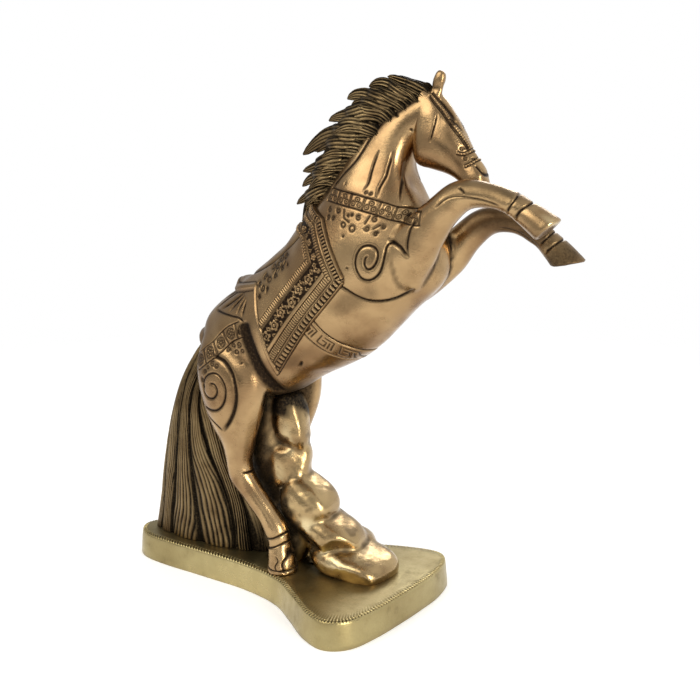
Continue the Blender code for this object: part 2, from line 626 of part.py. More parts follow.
def main():
    clear_scene()
    trunk_rings = rings_from_edges(TRUNK_SECTIONS)
    trunk_clear = loft("trunk_clear", trunk_rings, TRUNK_SIDES, grow=CLEARANCE)
    bores = build_fixings()
    build_base(bores.values())
    build_trunk(trunk_rings)
    head_guides = build_head(trunk_clear)
    build_foreleg("foreleg_right", FORELEG_RIGHT, -1, SOLE_RIGHT, trunk_clear)
    build_foreleg("foreleg_left", FORELEG_LEFT, 1, SOLE_LEFT, trunk_clear)
    leg_guides = [build_hindleg("hindleg_right", HINDLEG_RIGHT, -1, trunk_clear),
                  build_hindleg("hindleg_left", HINDLEG_LEFT, 1, trunk_clear)]
    build_rock([trunk_clear] + leg_guides + [bores["front"], bores["middle"]])
    build_tail([trunk_clear] + leg_guides + [bores["tail"]])
    cloth_clear = build_saddle(trunk_rings, trunk_clear, leg_guides)
    build_mane([trunk_clear, cloth_clear] + head_guides)


main()
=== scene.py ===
"""Brass statue of a rearing horse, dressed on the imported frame.

Shapes are worked out in millimetres, with Y towards the horse's left, and turned into metres at the end.
Heights in the tables of castings are above the plinth's deck, and those of chased lines above the ground.
"""
import json
import math

import bpy
import numpy as np
from mathutils import Euler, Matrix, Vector
from mathutils.bvhtree import BVHTree

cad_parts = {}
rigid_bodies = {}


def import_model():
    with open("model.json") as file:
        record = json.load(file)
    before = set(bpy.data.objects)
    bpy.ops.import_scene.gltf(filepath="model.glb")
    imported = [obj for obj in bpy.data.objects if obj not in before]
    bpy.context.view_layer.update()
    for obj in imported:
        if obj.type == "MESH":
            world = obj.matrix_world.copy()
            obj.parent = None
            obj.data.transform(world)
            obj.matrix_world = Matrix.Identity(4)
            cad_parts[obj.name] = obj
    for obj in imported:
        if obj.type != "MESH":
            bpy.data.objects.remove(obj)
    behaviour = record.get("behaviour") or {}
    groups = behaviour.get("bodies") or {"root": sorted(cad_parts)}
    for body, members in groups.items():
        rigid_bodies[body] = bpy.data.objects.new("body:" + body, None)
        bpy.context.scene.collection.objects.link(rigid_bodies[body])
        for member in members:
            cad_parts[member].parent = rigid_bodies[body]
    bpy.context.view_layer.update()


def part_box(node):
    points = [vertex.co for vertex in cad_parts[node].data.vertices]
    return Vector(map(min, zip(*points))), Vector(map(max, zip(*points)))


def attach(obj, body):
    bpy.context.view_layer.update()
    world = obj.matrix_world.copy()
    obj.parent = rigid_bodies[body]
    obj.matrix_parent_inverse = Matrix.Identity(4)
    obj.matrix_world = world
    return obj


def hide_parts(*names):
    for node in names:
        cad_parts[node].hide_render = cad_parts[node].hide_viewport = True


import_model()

MM = 0.001
SHIFT = np.array((1.11, 0.355, 0.0))
PLINTH_HEIGHT = 17.0
DECK = PLINTH_HEIGHT + 0.3

# Castings in side view, as in the frame

# Sections: x and z on one edge, x and z on the other, half width, and middle y if it isn't 0
TRUNK = ((-82.5, 143, -70, 118, 15), (-78.5, 153.5, -48, 103, 23), (-68.3, 162.2, -20, 109, 27),
         (-53, 172, 0, 121, 28), (-36, 183, 16, 129, 28.5), (-19.5, 196.5, 34, 141, 29),
         (-8, 211.5, 56, 163, 29), (0, 224, 73, 180, 27.5), (8, 235, 74.5, 197, 24.5),
         (17, 248, 67.5, 212, 19.5), (28, 261, 60.5, 224, 15.5), (41, 271, 54, 236, 12.5),
         (53, 277, 55, 250, 10), (62, 279, 64, 260, 7.5))
HEAD = ((63, 281, 56, 266, 6.5), (69.5, 278.5, 55, 252, 8.5), (75, 272.5, 57, 242.5, 9.6),
        (81, 263.5, 66.5, 239.5, 9), (86, 254.5, 74, 237.5, 7.8), (90.5, 247.5, 80, 234.5, 6.6),
        (95.2, 241, 85, 230, 6.8), (97, 235.5, 90, 227.5, 5.6))
# Legs: x, z, |y|, half depth and half width along a spine. Soles: middle and facing
FORELEG_RIGHT = ((53, 188, 13, 17, 10), (62, 198, 15.5, 14.5, 10.5), (70.5, 208, 17, 11.4, 9.5),
                 (79.5, 218.2, 18, 9.2, 8.3), (88.4, 226, 18.5, 8.2, 7.8), (96.4, 228.5, 18.5, 7.2, 7.2),
                 (105.4, 227.8, 18.5, 6.2, 6.2), (113, 226.2, 18.5, 5.8, 6), (118.8, 224.2, 18.5, 6, 6.6),
                 (123.9, 220.9, 18.5, 6.3, 6.6), (129.8, 216.9, 18.5, 7, 7.6), (134.8, 213.5, 18.5, 7.4, 8),
                 (139.6, 210.4, 18.5, 7.9, 8.2))
FORELEG_LEFT = ((50, 180, 13, 15, 10), (59, 185, 15.5, 13, 10.5), (68.5, 192.2, 17, 10.8, 9.5),
                (77.6, 201.8, 18, 8.9, 8.3), (86.6, 210, 18.5, 8, 7.8), (95.2, 213.2, 18.5, 7.1, 7.2),
                (104.6, 212.6, 18.5, 6.1, 6.2), (111.8, 210.4, 18.5, 5.9, 6), (117.4, 207.6, 18.5, 6.2, 6.6),
                (122.3, 204.5, 18.5, 6.2, 6.6), (128.3, 199, 18.5, 7, 7.6), (134, 193.1, 18.5, 7.7, 8.2),
                (139.4, 187.5, 18.5, 8.3, 8.6))
SOLE_RIGHT = ((136.1, 211.6), (0.66, -0.75))
SOLE_LEFT = ((136, 191.8), (0.19, -0.98))
HINDLEG_RIGHT = ((-55, 143, 12, 22, 11), (-54.5, 125, 17, 24, 13), (-54, 107, 18, 22, 13),
                 (-53, 91, 18, 17, 11.5), (-51.5, 77, 17.5, 11, 9.3), (-52, 65, 17, 8.2, 8),
                 (-49.5, 55, 16.5, 7.6, 7.6), (-42, 45, 16, 6.9, 7), (-33.5, 35, 15.5, 6.5, 6.7),
                 (-27, 26, 15, 7.3, 7.6), (-24.5, 19, 15, 6.6, 7), (-24, 13, 15, 7.4, 8),
                 (-23, 6.5, 15, 8.6, 9), (-22.5, -0.5, 15, 9.4, 10))
HINDLEG_LEFT = ((-48, 143, 12, 22, 11), (-40.5, 125, 17, 24, 13), (-37.5, 107, 18, 22, 13),
                (-36.5, 91, 18, 17, 11.5), (-36.5, 77, 18, 11, 9.3), (-38, 65, 18, 8.2, 8),
                (-35, 55, 18.5, 7.6, 7.6), (-27, 45, 19, 6.9, 7), (-19, 35, 20, 6.5, 6.7),
                (-12.5, 26, 21, 7.3, 7.6), (-10.5, 19, 21.5, 6.6, 7), (-10, 13, 22, 7.4, 8),
                (-9, 6.5, 22, 8.6, 9), (-8.5, -0.5, 22, 9.4, 10))
TAIL = ((-78, 142, -70, 133, 6, 0), (-88, 133, -75, 122, 8, 0), (-98.5, 120, -77, 109, 10, 0.5),
        (-108, 105, -79, 95, 11.5, 1.5), (-116.5, 86, -77, 80, 12.5, 3), (-123, 65, -70, 61, 13, 4),
        (-128.5, 43, -60, 41, 13, 5), (-133, 21, -51, 21, 13.5, 6), (-138, 0, -44.5, 0, 14, 6.5))
# Furrows between the locks of the tail: place round it, sway, number of waves and phase
TAIL_CUTS = ((0.000, 0.010, 0.9, 0.10), (0.090, 0.016, 1.1, 0.55), (0.165, 0.010, 1.2, 0.20),
             (0.250, 0.018, 0.8, 0.75), (0.335, 0.010, 1.2, 0.40), (0.420, 0.013, 1.0, 0.05),
             (0.505, 0.009, 1.3, 0.60), (0.585, 0.014, 0.9, 0.30), (0.665, 0.019, 1.1, 0.85),
             (0.750, 0.011, 1.0, 0.45), (0.835, 0.018, 1.2, 0.15), (0.915, 0.012, 1.0, 0.70))
MANE = ((64, 280, 61, 284, 3), (54, 273, 52, 284, 7), (43, 267, 38, 282, 9.5), (32, 260, 21, 273, 11.5),
        (22, 249, 9, 260, 12.5), (13, 236, -1, 245, 12.5), (6, 224, -7, 231, 11), (-4, 212, -13, 220, 7),
        (-10, 205, -15, 210, 4))
# Locks of the mane: x and z of root, middle and tip, half width, and |y| of the root
LOCKS = ((64, 278, 53, 283.5, 40, 286, 3, 2.5), (59, 273, 44, 281, 29, 282.5, 4.2, 5),
         (52, 268, 34, 277, 16.5, 274.5, 5.2, 6.5), (44, 263, 26, 269.5, 5, 263, 5.2, 8),
         (36, 255, 14, 257, -14, 248.5, 5.6, 9.5), (28, 245, 9, 244.5, -12.5, 236, 4.8, 10),
         (23, 237, 6, 236, -13.5, 228.5, 4.4, 10), (18, 230, 2, 228, -16.5, 217.5, 4.2, 10),
         (11, 223, -1, 219.5, -12.5, 211.5, 3.4, 9))
# Rocks: middle, half sizes and tilt in degrees
ROCKS = (((-25.5, 2, 89), (10, 10, 19), (0, -6, 10)), ((-28, 3, 62), (13, 11, 17), (0, 8, 15)),
         ((-16, 4, 39), (18, 16, 15), (0, 34, 0)), ((-3, 7, 22), (23, 18, 11), (0, 26, 4)),
         ((13, 9, 5), (27, 22, 10.5), (0, 10, -8)), ((-40, 6, 62), (13.5, 13.5, 36), (0, 4, 0)),
         ((-30, 7, 22), (17, 13, 26), (0, 6, 0)), ((2, 20, 8), (18, 14, 13), (0, 12, 20)))
# Outline of the plinth in plan
PLINTH = ((-147, 6), (-144, -5), (-133, -13), (-112, -16.5), (-76, -18.5), (-44, -21.5), (-20, -28.5),
          (0, -42), (17, -55), (33, -60.5), (46, -52), (53, -31), (57.5, -4), (60.5, 26), (57.5, 49),
          (46, 59.5), (22, 56), (-8, 45), (-40, 35), (-80, 30), (-118, 28), (-138, 20))
# Edges of the saddle cloth
CLOTH_FRONT = ((-14, 226), (12, 213), (28, 183))
CLOTH_FOOT = ((28, 180), (6, 155), (-20, 123))
CLOTH_REAR = ((-20, 123), (-27, 149), (-34, 171), (-54, 167), (-70, 185))
CLOTH = CLOTH_FRONT + CLOTH_FOOT + CLOTH_REAR[1:]

# Meshes as arrays of points and faces

TRIANGLE_SIDES = [[0, 1], [1, 2], [2, 0]]
# An edge above this share of its wanted length is halved, in at most this many rounds
LONGEST_SHARE, MOST_ROUNDS = 1.35, 4
# Steps from one given place to the next: on a chased line, on a casting, and on the plinth's outline
LINE_STEPS, CASTING_STEPS, PLAN_STEPS = 6, 6, 24


def unit(vectors):
    """Vectors scaled to a length of 1."""
    return vectors / np.linalg.norm(vectors, axis=-1, keepdims=True)


def curve_rows(rows, steps):
    """Rows of numbers on a smooth curve through the given rows."""
    rows = np.asarray(rows, float)
    padded = np.vstack((rows[:1], rows, rows[-1:]))
    t = (np.arange(steps) / steps)[:, None]
    parts = []
    for index in range(len(rows) - 1):
        a, b, c, d = padded[index:index + 4]
        parts.append(0.5 * (2 * b + (c - a) * t + (2 * a - 5 * b + 4 * c - d) * t ** 2
                            + (3 * b - a - 3 * c + d) * t ** 3))
    return np.vstack(parts + [rows[-1:]])


def lift(points):
    """Side-view points with their heights counted from the ground."""
    return np.asarray(points, float) + (0, DECK)


def edge_rings(sections, steps):
    """Centres, half depth vectors and half widths, from two edge lines."""
    rows = curve_rows(sections, steps)
    middle = rows[:, 5] if rows.shape[1] > 5 else np.zeros(len(rows))
    first = np.stack((rows[:, 0], middle, rows[:, 1] + DECK), 1)
    second = np.stack((rows[:, 2], middle, rows[:, 3] + DECK), 1)
    return (first + second) / 2, (first - second) / 2, rows[:, 4]


def spine_rings(stations, side, flat_end, steps):
    """Rings square to a spine; side is -1 for the right legs and 1 for the left ones."""
    rows = curve_rows(stations, steps)
    run = np.gradient(rows[:, :2], axis=0)
    if flat_end:
        run[-1] = (0, -1)
    run = unit(run)
    centre = np.stack((rows[:, 0], side * rows[:, 2], rows[:, 1] + DECK), 1)
    depth = np.stack((-run[:, 1], np.zeros(len(run)), run[:, 0]), 1) * rows[:, 3:4]
    return centre, depth, rows[:, 4]


def ring_grid(rings, sides):
    """Points round each ring, as an array of rings by sides by 3."""
    centre, depth, width = rings
    angle = np.arange(sides) * (2 * math.pi / sides)
    out = np.linalg.norm(depth, axis=1)[:, None] * np.cos(angle)
    grid = centre[:, None, :] + unit(depth)[:, None, :] * out[:, :, None]
    grid[:, :, 1] += width[:, None] * np.sin(angle)
    return grid


def domed(rings, both=True):
    """Rings with smaller ones added that round off the start, and with both the end too."""
    tilt = np.radians((22, 44, 64, 80))
    for last, before in ((0, 1), (-1, -2))[:2 if both else 1]:
        centre, depth, width = rings
        reach = min(np.linalg.norm(depth[last]), width[last]) * 0.72
        added = (centre[last] + unit(centre[last] - centre[before]) * reach * np.sin(tilt)[:, None],
                 depth[last] * np.cos(tilt)[:, None], width[last] * np.cos(tilt))
        rings = [np.concatenate((old, new) if last else (new[::-1], old)) for old, new in zip(rings, added)]
    return rings


def grid_faces(rows, columns, closed=True):
    """Quads over a grid of points whose columns go round."""
    span = columns if closed else columns - 1
    row, column = np.meshgrid(np.arange(rows - 1), np.arange(span), indexing="ij")
    following = (column + 1) % columns
    quads = np.stack((row * columns + column, row * columns + following,
                      (row + 1) * columns + following, (row + 1) * columns + column), -1)
    return quads.reshape(-1, 4)


def tube(grid):
    """Skin over loops of points with flat ends, as points and a list of faces."""
    rows, sides = grid.shape[:2]
    faces = grid_faces(rows, sides).tolist()
    faces += [list(range(sides))[::-1], list(range((rows - 1) * sides, rows * sides))]
    return grid.reshape(-1, 3), faces


def capped(grid):
    """Skin over loops of points with a fan at each end, as points and triangles."""
    rows, columns = grid.shape[:2]
    ring = np.arange(columns)
    after = (ring + 1) % columns
    total = rows * columns
    quads = grid_faces(rows, columns)
    faces = np.vstack((quads[:, [0, 1, 2]], quads[:, [0, 2, 3]],
                       np.column_stack((after, ring, np.full(columns, total))),
                       np.column_stack((ring + total - columns, after + total - columns,
                                        np.full(columns, total + 1)))))
    return np.vstack((grid.reshape(-1, 3), grid[0].mean(0), grid[-1].mean(0))), faces


def ball(power, cuts):
    """Rounded block, or at a power of 2 a ball, of radius 1 as points and a list of faces."""
    lines = np.linspace(-1, 1, cuts + 1)
    u, v = np.meshgrid(lines, lines, indexing="ij")
    points, faces = [], []
    for axis in range(3):
        for sign in (-1, 1):
            sheet = np.zeros(u.shape + (3,))
            sheet[..., axis] = sign
            sheet[..., (axis + 1) % 3] = u
            sheet[..., (axis + 2) % 3] = v * sign
            faces.append(grid_faces(cuts + 1, cuts + 1, closed=False)[:, ::-1] + len(points) * (cuts + 1) ** 2)
            points.append(sheet.reshape(-1, 3))
    points = np.vstack(points)
    return points / (np.abs(points) ** power).sum(1)[:, None] ** (1 / power), np.vstack(faces).tolist()


def ripple(points, size, seed):
    """Smooth waves in space, about -1 to 1, with a given spacing."""
    source = np.random.default_rng(seed)
    total = np.zeros(len(points))
    for _ in range(8):
        heading = source.normal(size=points.shape[1])
        heading *= 2 * math.pi / size * source.uniform(0.6, 1.3) / np.linalg.norm(heading)
        total += np.sin(points @ heading + source.uniform(0, 2 * math.pi))
    return total / 3


def fused(shapes, cell):
    """Points and triangles of one skin round closed shapes that overlap."""
    points, faces = [], []
    for shape_points, shape_faces in shapes:
        faces += [[corner + len(points) for corner in face] for face in shape_faces]
        points += shape_points.tolist()
    mesh = bpy.data.meshes.new("fusing")
    mesh.from_pydata(points, [], faces)
    item = bpy.data.objects.new("fusing", mesh)
    bpy.context.scene.collection.objects.link(item)
    modifier = item.modifiers.new("skin", "REMESH")
    modifier.mode = "VOXEL"
    modifier.voxel_size = cell
    result = item.evaluated_get(bpy.context.evaluated_depsgraph_get()).to_mesh()
    made = np.empty(len(result.vertices) * 3, np.float32)
    result.vertices.foreach_get("co", made)
    result.calc_loop_triangles()
    triangles = np.empty(len(result.loop_triangles) * 3, np.int32)
    result.loop_triangles.foreach_get("vertices", triangles)
    bpy.data.objects.remove(item)
    bpy.data.meshes.remove(mesh)
    return made.reshape(-1, 3).astype(float), triangles.reshape(-1, 3)


def edges_of(triangles):
    """Each edge once, as pairs of corners."""
    return np.unique(np.sort(triangles[:, TRIANGLE_SIDES].reshape(-1, 2), 1), axis=0)


def normals_of(points, triangles):
    """Outward directions at the points."""
    a, b, c = (points[triangles[:, k]] for k in range(3))
    across = np.cross(b - a, c - a)
    total = np.zeros_like(points)
    for corner in range(3):
        for axis in range(3):
            total[:, axis] += np.bincount(triangles[:, corner], across[:, axis], len(points))
    return total / np.maximum(np.linalg.norm(total, axis=1), 1e-12)[:, None]


def spread(values, edges, rounds):
    """Values averaged with their neighbours, round after round."""
    count = len(values)
    degree = np.bincount(edges.ravel(), minlength=count)
    first, second = edges.T
    columns = values.reshape(count, -1).copy()
    for _ in range(rounds):
        total = np.empty_like(columns)
        for axis in range(columns.shape[1]):
            total[:, axis] = (np.bincount(first, columns[second, axis], count)
                              + np.bincount(second, columns[first, axis], count))
        columns = (columns + total / degree[:, None]) / 2
    return columns.reshape(values.shape)


def filleted(points, triangles, cell, radius, rounds):
    """Skin whose inside corners are filled to about the given radius."""
    edges = edges_of(triangles)
    least = cell * cell / (4 * radius)
    for turn in range(rounds):
        if turn % 8 == 0:
            normals = normals_of(points, triangles)
        pull = ((spread(points, edges, 1) - points) * normals).sum(1) * 2
        points = points + normals * (0.9 * np.clip(pull - least, 0, None))[:, None]
    return spread(points, edges, 2)


def halved(points, triangles, normals, target, labels):
    """One round of refinement, in which each edge longer than its target is halved on the smooth skin."""
    count = len(points)
    pairs = triangles[:, TRIANGLE_SIDES]
    low, high = pairs.min(2), pairs.max(2)
    keys, inverse = np.unique(low.astype(np.int64) * count + high, return_inverse=True)
    a, b = keys // count, keys % count
    cut = np.linalg.norm(points[a] - points[b], axis=1) > LONGEST_SHARE * np.minimum(target[a], target[b])
    if not cut.any():
        return points, triangles, normals, labels, False
    a, b = a[cut], b[cut]
    middle = (points[a] + points[b]) / 2
    bulge = 0.25 * (((middle - points[a]) * normals[a]).sum(1)[:, None] * normals[a]
                    + ((middle - points[b]) * normals[b]).sum(1)[:, None] * normals[b])
    place = np.full(len(keys), -1)
    place[cut] = count + np.arange(len(a))
    points = np.vstack((points, middle - bulge))
    normals = np.vstack((normals, unit(normals[a] + normals[b])))
    halves = place[inverse.reshape(low.shape)]
    number = (halves >= 0).sum(1)
    parts, tags = [triangles[number == 0]], [labels[number == 0]]
    for wanted in (1, 2, 3):
        pick = number == wanted
        t, m = triangles[pick], halves[pick]
        if wanted < 3:
            odd = (m >= 0) if wanted == 1 else (m < 0)
            order = (np.arange(3) + odd.argmax(1)[:, None]) % 3
            t, m = np.take_along_axis(t, order, 1), np.take_along_axis(m, order, 1)
        (a, b, c), (ab, bc, ca) = t.T, m.T
        made = {1: ((a, ab, c), (ab, b, c)), 2: ((a, b, bc), (a, bc, ca), (ca, bc, c)),
                3: ((a, ab, ca), (ab, b, bc), (ca, bc, c), (ab, bc, ca))}[wanted]
        parts += [np.stack(corners, 1) for corners in made]
        tags += [labels[pick]] * len(made)
    return points, np.vstack(parts), normals, np.concatenate(tags), True


def refined(points, triangles, wanted, labels=None):
    """Skin with small triangles where wanted, a function of points and normals, asks for them."""
    normals = normals_of(points, triangles)
    labels = np.zeros(len(triangles), int) if labels is None else labels
    for _ in range(MOST_ROUNDS):
        points, triangles, normals, labels, more = halved(points, triangles, normals, wanted(points, normals), labels)
        if not more:
            break
    return points, triangles, normals, labels


def nearest_on(line, points):
    """Nearest places to points on a line in plan or in space, and the gaps to them."""
    best = np.full(len(points), 1e9)
    found = points.copy()
    for start, end in zip(line, line[1:]):
        run = end - start
        place = start + np.clip((points - start) @ run / (run @ run), 0, 1)[:, None] * run
        gap = np.linalg.norm(points - place, axis=1)
        closer = gap < best
        found[closer], best[closer] = place[closer], gap[closer]
    return found, best


def step(value, low, high):
    """Smooth step from 0 to 1 between two values."""
    t = np.clip((value - low) / (high - low), 0, 1)
    return t * t * (3 - 2 * t)


# Chasing: forms cut into a skin or raised on it, drawn in side view

def along(line, x, z):
    """Distance along a side-view line, signed distance from it, and its length."""
    best = np.full(len(x), 1e9)
    place = np.zeros(len(x))
    sign = np.ones(len(x))
    run = 0.0
    for index, (start, end) in enumerate(zip(line, line[1:])):
        dx, dz = end - start
        length = math.hypot(dx, dz)
        if length < 1e-9:
            continue
        raw = ((x - start[0]) * dx + (z - start[1]) * dz) / length ** 2
        share = np.clip(raw, 0, 1)
        gap = np.hypot(x - start[0] - share * dx, z - start[1] - share * dz)
        closer = gap < best
        best[closer] = gap[closer]
        loose = np.clip(raw, 0 if index else -np.inf, np.inf if index == len(line) - 2 else 1)
        place[closer] = (run + loose * length)[closer]
        turn = (x - start[0]) * dz - (z - start[1]) * dx
        sign[closer] = np.where(turn < 0, -1.0, 1.0)[closer]
        run += length
    return place, best * sign, run


def groove(gap, width):
    """Rounded profile that is 1 on a line and fades out at about twice the width."""
    return np.exp(-(gap / width) ** 2)


def motif_gap(u, v, strokes):
    """Distance to the nearest stroke of a motif: lines as four numbers, rings as centre and radius."""
    best = np.full(np.shape(u), 9.0)
    for stroke in strokes:
        if len(stroke) == 3:
            gap = np.abs(np.hypot(u - stroke[0], v - stroke[1]) - stroke[2])
        else:
            du, dv = stroke[2] - stroke[0], stroke[3] - stroke[1]
            share = np.clip(((u - stroke[0]) * du + (v - stroke[1]) * dv) / (du * du + dv * dv), 0, 1)
            gap = np.hypot(u - stroke[0] - share * du, v - stroke[1] - share * dv)
        best = np.minimum(best, gap)
    return best


def feature(line, reach, evaluate, side=0, facing=True):
    """Chased form with its side-view box; evaluate gives height, darkness and distance at x and z."""
    line = np.asarray(line, float)
    return line.min(0) - reach, line.max(0) + reach, side, facing, evaluate


def cut(points, width=0.5, depth=0.6, taper=3.0, side=0, facing=True, dark=1.0):
    """Cut line with a rounded bottom that fades out at its ends."""
    line = curve_rows(points, LINE_STEPS)

    def evaluate(x, z):
        u, v, length = along(line, x, z)
        fade = np.clip(np.minimum(u, length - u) / taper, 0, 1) ** 0.7
        # Dark fill of the line: patinated in chased lines, painted shade where a cut stands for a shaded hollow.
        stain_and_shade = np.clip(1.25 * np.exp(-(v / width) ** 2 / 1.5), 0, 1)
        return -depth * (groove(v, width) * fade), dark * stain_and_shade * fade, np.abs(v)
    return feature(line, width * 3, evaluate, side, facing)


def engraving(strokes, width, depth):
    """Strokes cut straight into the skin, at side-view places."""
    corners = [stroke[:2] for stroke in strokes] + [stroke[2:] for stroke in strokes if len(stroke) == 4]

    def evaluate(x, z):
        gap = motif_gap(x, z, strokes)
        return -depth * groove(gap, width), 0.95 * groove(gap, width) ** 0.7, gap
    return feature(corners, 5, evaluate)


def strap(points, half, pitch, strokes, facing, rise, width, depth, border):
    """Band between two cut lines, with a motif repeated along it."""
    line = curve_rows(points, LINE_STEPS)

    def evaluate(x, z):
        u, v, length = along(line, x, z)
        within = step(u, -0.2, 0.6) * step(length - u, -0.2, 0.6)
        inside = (1 - step(np.abs(v), half - 0.3, half + 0.3)) * within
        phase = (u / pitch) % 1 * pitch - pitch / 2
        shape = groove(motif_gap(phase, v, strokes), width) * (np.abs(v) < half) * within
        rim = groove(np.abs(v) - half, 0.42) * within
        return (rise * inside - depth * shape - border * rim,
                np.maximum(0.9 * shape, np.clip(1.15 * rim, 0, 1)), np.maximum(np.abs(v) - half, 0))
    return feature(line, half + 2.5, evaluate, facing=facing)


def beads(points, half, pitch, facing=True, rise=0.6):
    """Raised row of beads with a dark foot."""
    line = curve_rows(points, LINE_STEPS)

    def evaluate(x, z):
        u, v, length = along(line, x, z)
        within = step(u, -0.2, 0.4) * step(length - u, -0.2, 0.4)
        bead = np.abs(np.sin(math.pi * u / pitch)) ** 0.7
        dome = np.sqrt(np.clip(1 - (v / half) ** 2, 0, 1)) * bead
        foot = groove(np.abs(v) - half * 1.15, 0.4)
        return (within * (rise * dome - 0.25 * foot),
                within * np.clip(foot + 0.8 * (1 - bead) ** 2 * (np.abs(v) < half), 0, 1),
                np.maximum(np.abs(v) - half, 0))
    return feature(line, half + 2, evaluate, facing=facing)


def rosette(size):
    """Ring with five others round it."""
    turns = np.radians(90 + 72 * np.arange(5))
    return [(0, 0, size * 0.3)] + [(size * 0.72 * math.cos(turn), size * 0.72 * math.sin(turn), size * 0.3)
                                   for turn in turns]


def curls(*places):
    """Strokes of small curls that wind in to their centres, each with x, z, size and where it starts."""
    strokes = []
    share = np.linspace(0, 1, 11)
    for x, z, size, start in places:
        angle = math.radians(start) + share * 1.2 * 2 * math.pi
        reach = size * (1 - 0.75 * share)
        line = np.stack((x + reach * np.cos(angle), z + reach * np.sin(angle)), 1)
        strokes += [tuple(pair) for pair in np.hstack((line[:-1], line[1:]))]
    return strokes


def chase(features, points, normals):
    """Height along the normal, darkness, and distance to the nearest chased line, at each point."""
    height = np.zeros(len(points))
    dark = np.zeros(len(points))
    near = np.full(len(points), 50.0)
    x, z = points[:, 0], points[:, 2]
    for low, high, side, facing, evaluate in features:
        pick = (x > low[0]) & (x < high[0]) & (z > low[1]) & (z < high[1])
        if side:
            pick &= points[:, 1] * side > 0
        if facing:
            pick &= points[:, 1] * normals[:, 1] > 0
        pick = np.nonzero(pick)[0]
        if len(pick):
            rise, shade, gap = evaluate(x[pick], z[pick])
            weight = step(np.abs(normals[pick, 1]), 0.08, 0.35) if facing else np.ones(len(pick))
            height[pick] += rise * weight
            dark[pick] = np.maximum(dark[pick], shade * weight)
            near[pick] = np.minimum(near[pick], np.where(weight > 0.02, gap, 50))
    return height, dark, near


# Materials

PAINTED_HIGHLIGHT = (0.82, 0.68, 0.40)


def wire(tree, item, sockets):
    """Sockets of a node set to numbers or linked. Gives the node's outputs."""
    for key, value in sockets.items():
        if isinstance(value, bpy.types.NodeSocket):
            tree.links.new(value, item.inputs[key])
        else:
            item.inputs[key].default_value = value
    return item.outputs


def node(tree, kind, sockets, **settings):
    """Outputs of a new shader node."""
    item = tree.nodes.new("ShaderNode" + kind)
    for name, value in settings.items():
        setattr(item, name, value)
    return wire(tree, item, sockets)


def maths(tree, operation, first, second, clamped=False):
    """Output of a math node."""
    return node(tree, "Math", {0: first, 1: second}, operation=operation, use_clamp=clamped)["Value"]


def ramp(tree, value, low, high, to_low=0.0, to_high=1.0, kind="LINEAR"):
    """Output of a map range node."""
    ends = {"From Min": low, "From Max": high, "To Min": to_low, "To Max": to_high}
    return node(tree, "MapRange", {"Value": value, **ends}, interpolation_type=kind)["Result"]


def metal(name, light, warm, patina_and_painted_light, roughness, grain=0.45, wear=0.6, underside_shade=0.4):
    """Cast metal that turns dark where its attribute is above 0, for patinated hollows and lines and for painted shade
    alike, is painted darker on its undersides, and takes a painted highlight colour where the attribute is below 0.
    """
    made = bpy.data.materials.new(name)
    made.use_nodes = True
    tree = made.node_tree
    where = node(tree, "TexCoord", {})["Object"]
    # The attribute holds patinated lines and hollows and painted shade above 0, and painted highlights below 0.
    marked = node(tree, "Attribute", {}, attribute_name="patina_and_painted_light")["Fac"]
    upward = node(tree, "SeparateXYZ", {"Vector": node(tree, "NewGeometry", {})["Normal"]})["Z"]

    def noise(scale, detail, rough, distortion=0.0):
        return node(tree, "TexNoise", {"Vector": where, "Scale": scale, "Detail": detail, "Roughness": rough,
                                       "Distortion": distortion})["Fac"]

    def mixed(amount, first, second):
        first, second = ((*end, 1.0) if isinstance(end, tuple) else end for end in (first, second))
        return node(tree, "Mix", {"Factor": amount, 6: first, 7: second}, data_type="RGBA")[2]

    broad, middle, fine = noise(22.0, 2.0, 0.5, 0.6), noise(120.0, 3.0, 0.55), noise(900.0, 4.0, 0.6)
    # Painted shade: surfaces that face down are painted darker.
    below = ramp(tree, upward, 0.05, -0.85, 0.0, underside_shade)
    tarnish = maths(tree, "ADD", ramp(tree, broad, 0.40, 0.62, 0.0, 0.7), ramp(tree, middle, 0.45, 0.75, 0.0, 0.3))
    tone = mixed(maths(tree, "MINIMUM", maths(tree, "ADD", tarnish, below), 1.0), light, warm)
    hold = maths(tree, "MULTIPLY", marked, ramp(tree, fine, 0.3, 0.7, 0.85, 1.15))
    specks = maths(tree, "ADD", ramp(tree, middle, 0.62, 0.8, 0.0, 0.25 * wear),
                   ramp(tree, fine, 0.66, 0.74, 0.0, 0.2 * wear))
    hold = maths(tree, "MINIMUM", maths(tree, "ADD", hold, specks), 1.0)
    # Below 0 the attribute turns the colour to a painted highlight; above 0 it turns it dark, for patinated lines and
    # for painted shade alike.
    tone = mixed(ramp(tree, marked, 0.0, -1.0), mixed(hold, tone, patina_and_painted_light), PAINTED_HIGHLIGHT)
    gloss = maths(tree, "ADD", ramp(tree, middle, 0.3, 0.7, roughness * 0.75, roughness * 1.3),
                  ramp(tree, hold, 0.0, 1.0, 0.0, 0.35))
    waves = maths(tree, "ADD", fine, maths(tree, "MULTIPLY", noise(3500.0, 2.0, 0.5), 0.35))
    waves = maths(tree, "ADD", waves, maths(tree, "MULTIPLY", middle, 0.8))
    bump = node(tree, "Bump", {"Strength": grain, "Distance": 0.0002, "Height": waves})["Normal"]
    wire(tree, tree.nodes["Principled BSDF"], {"Metallic": 1.0, "Base Color": tone, "Roughness": gloss, "Normal": bump})
    return made


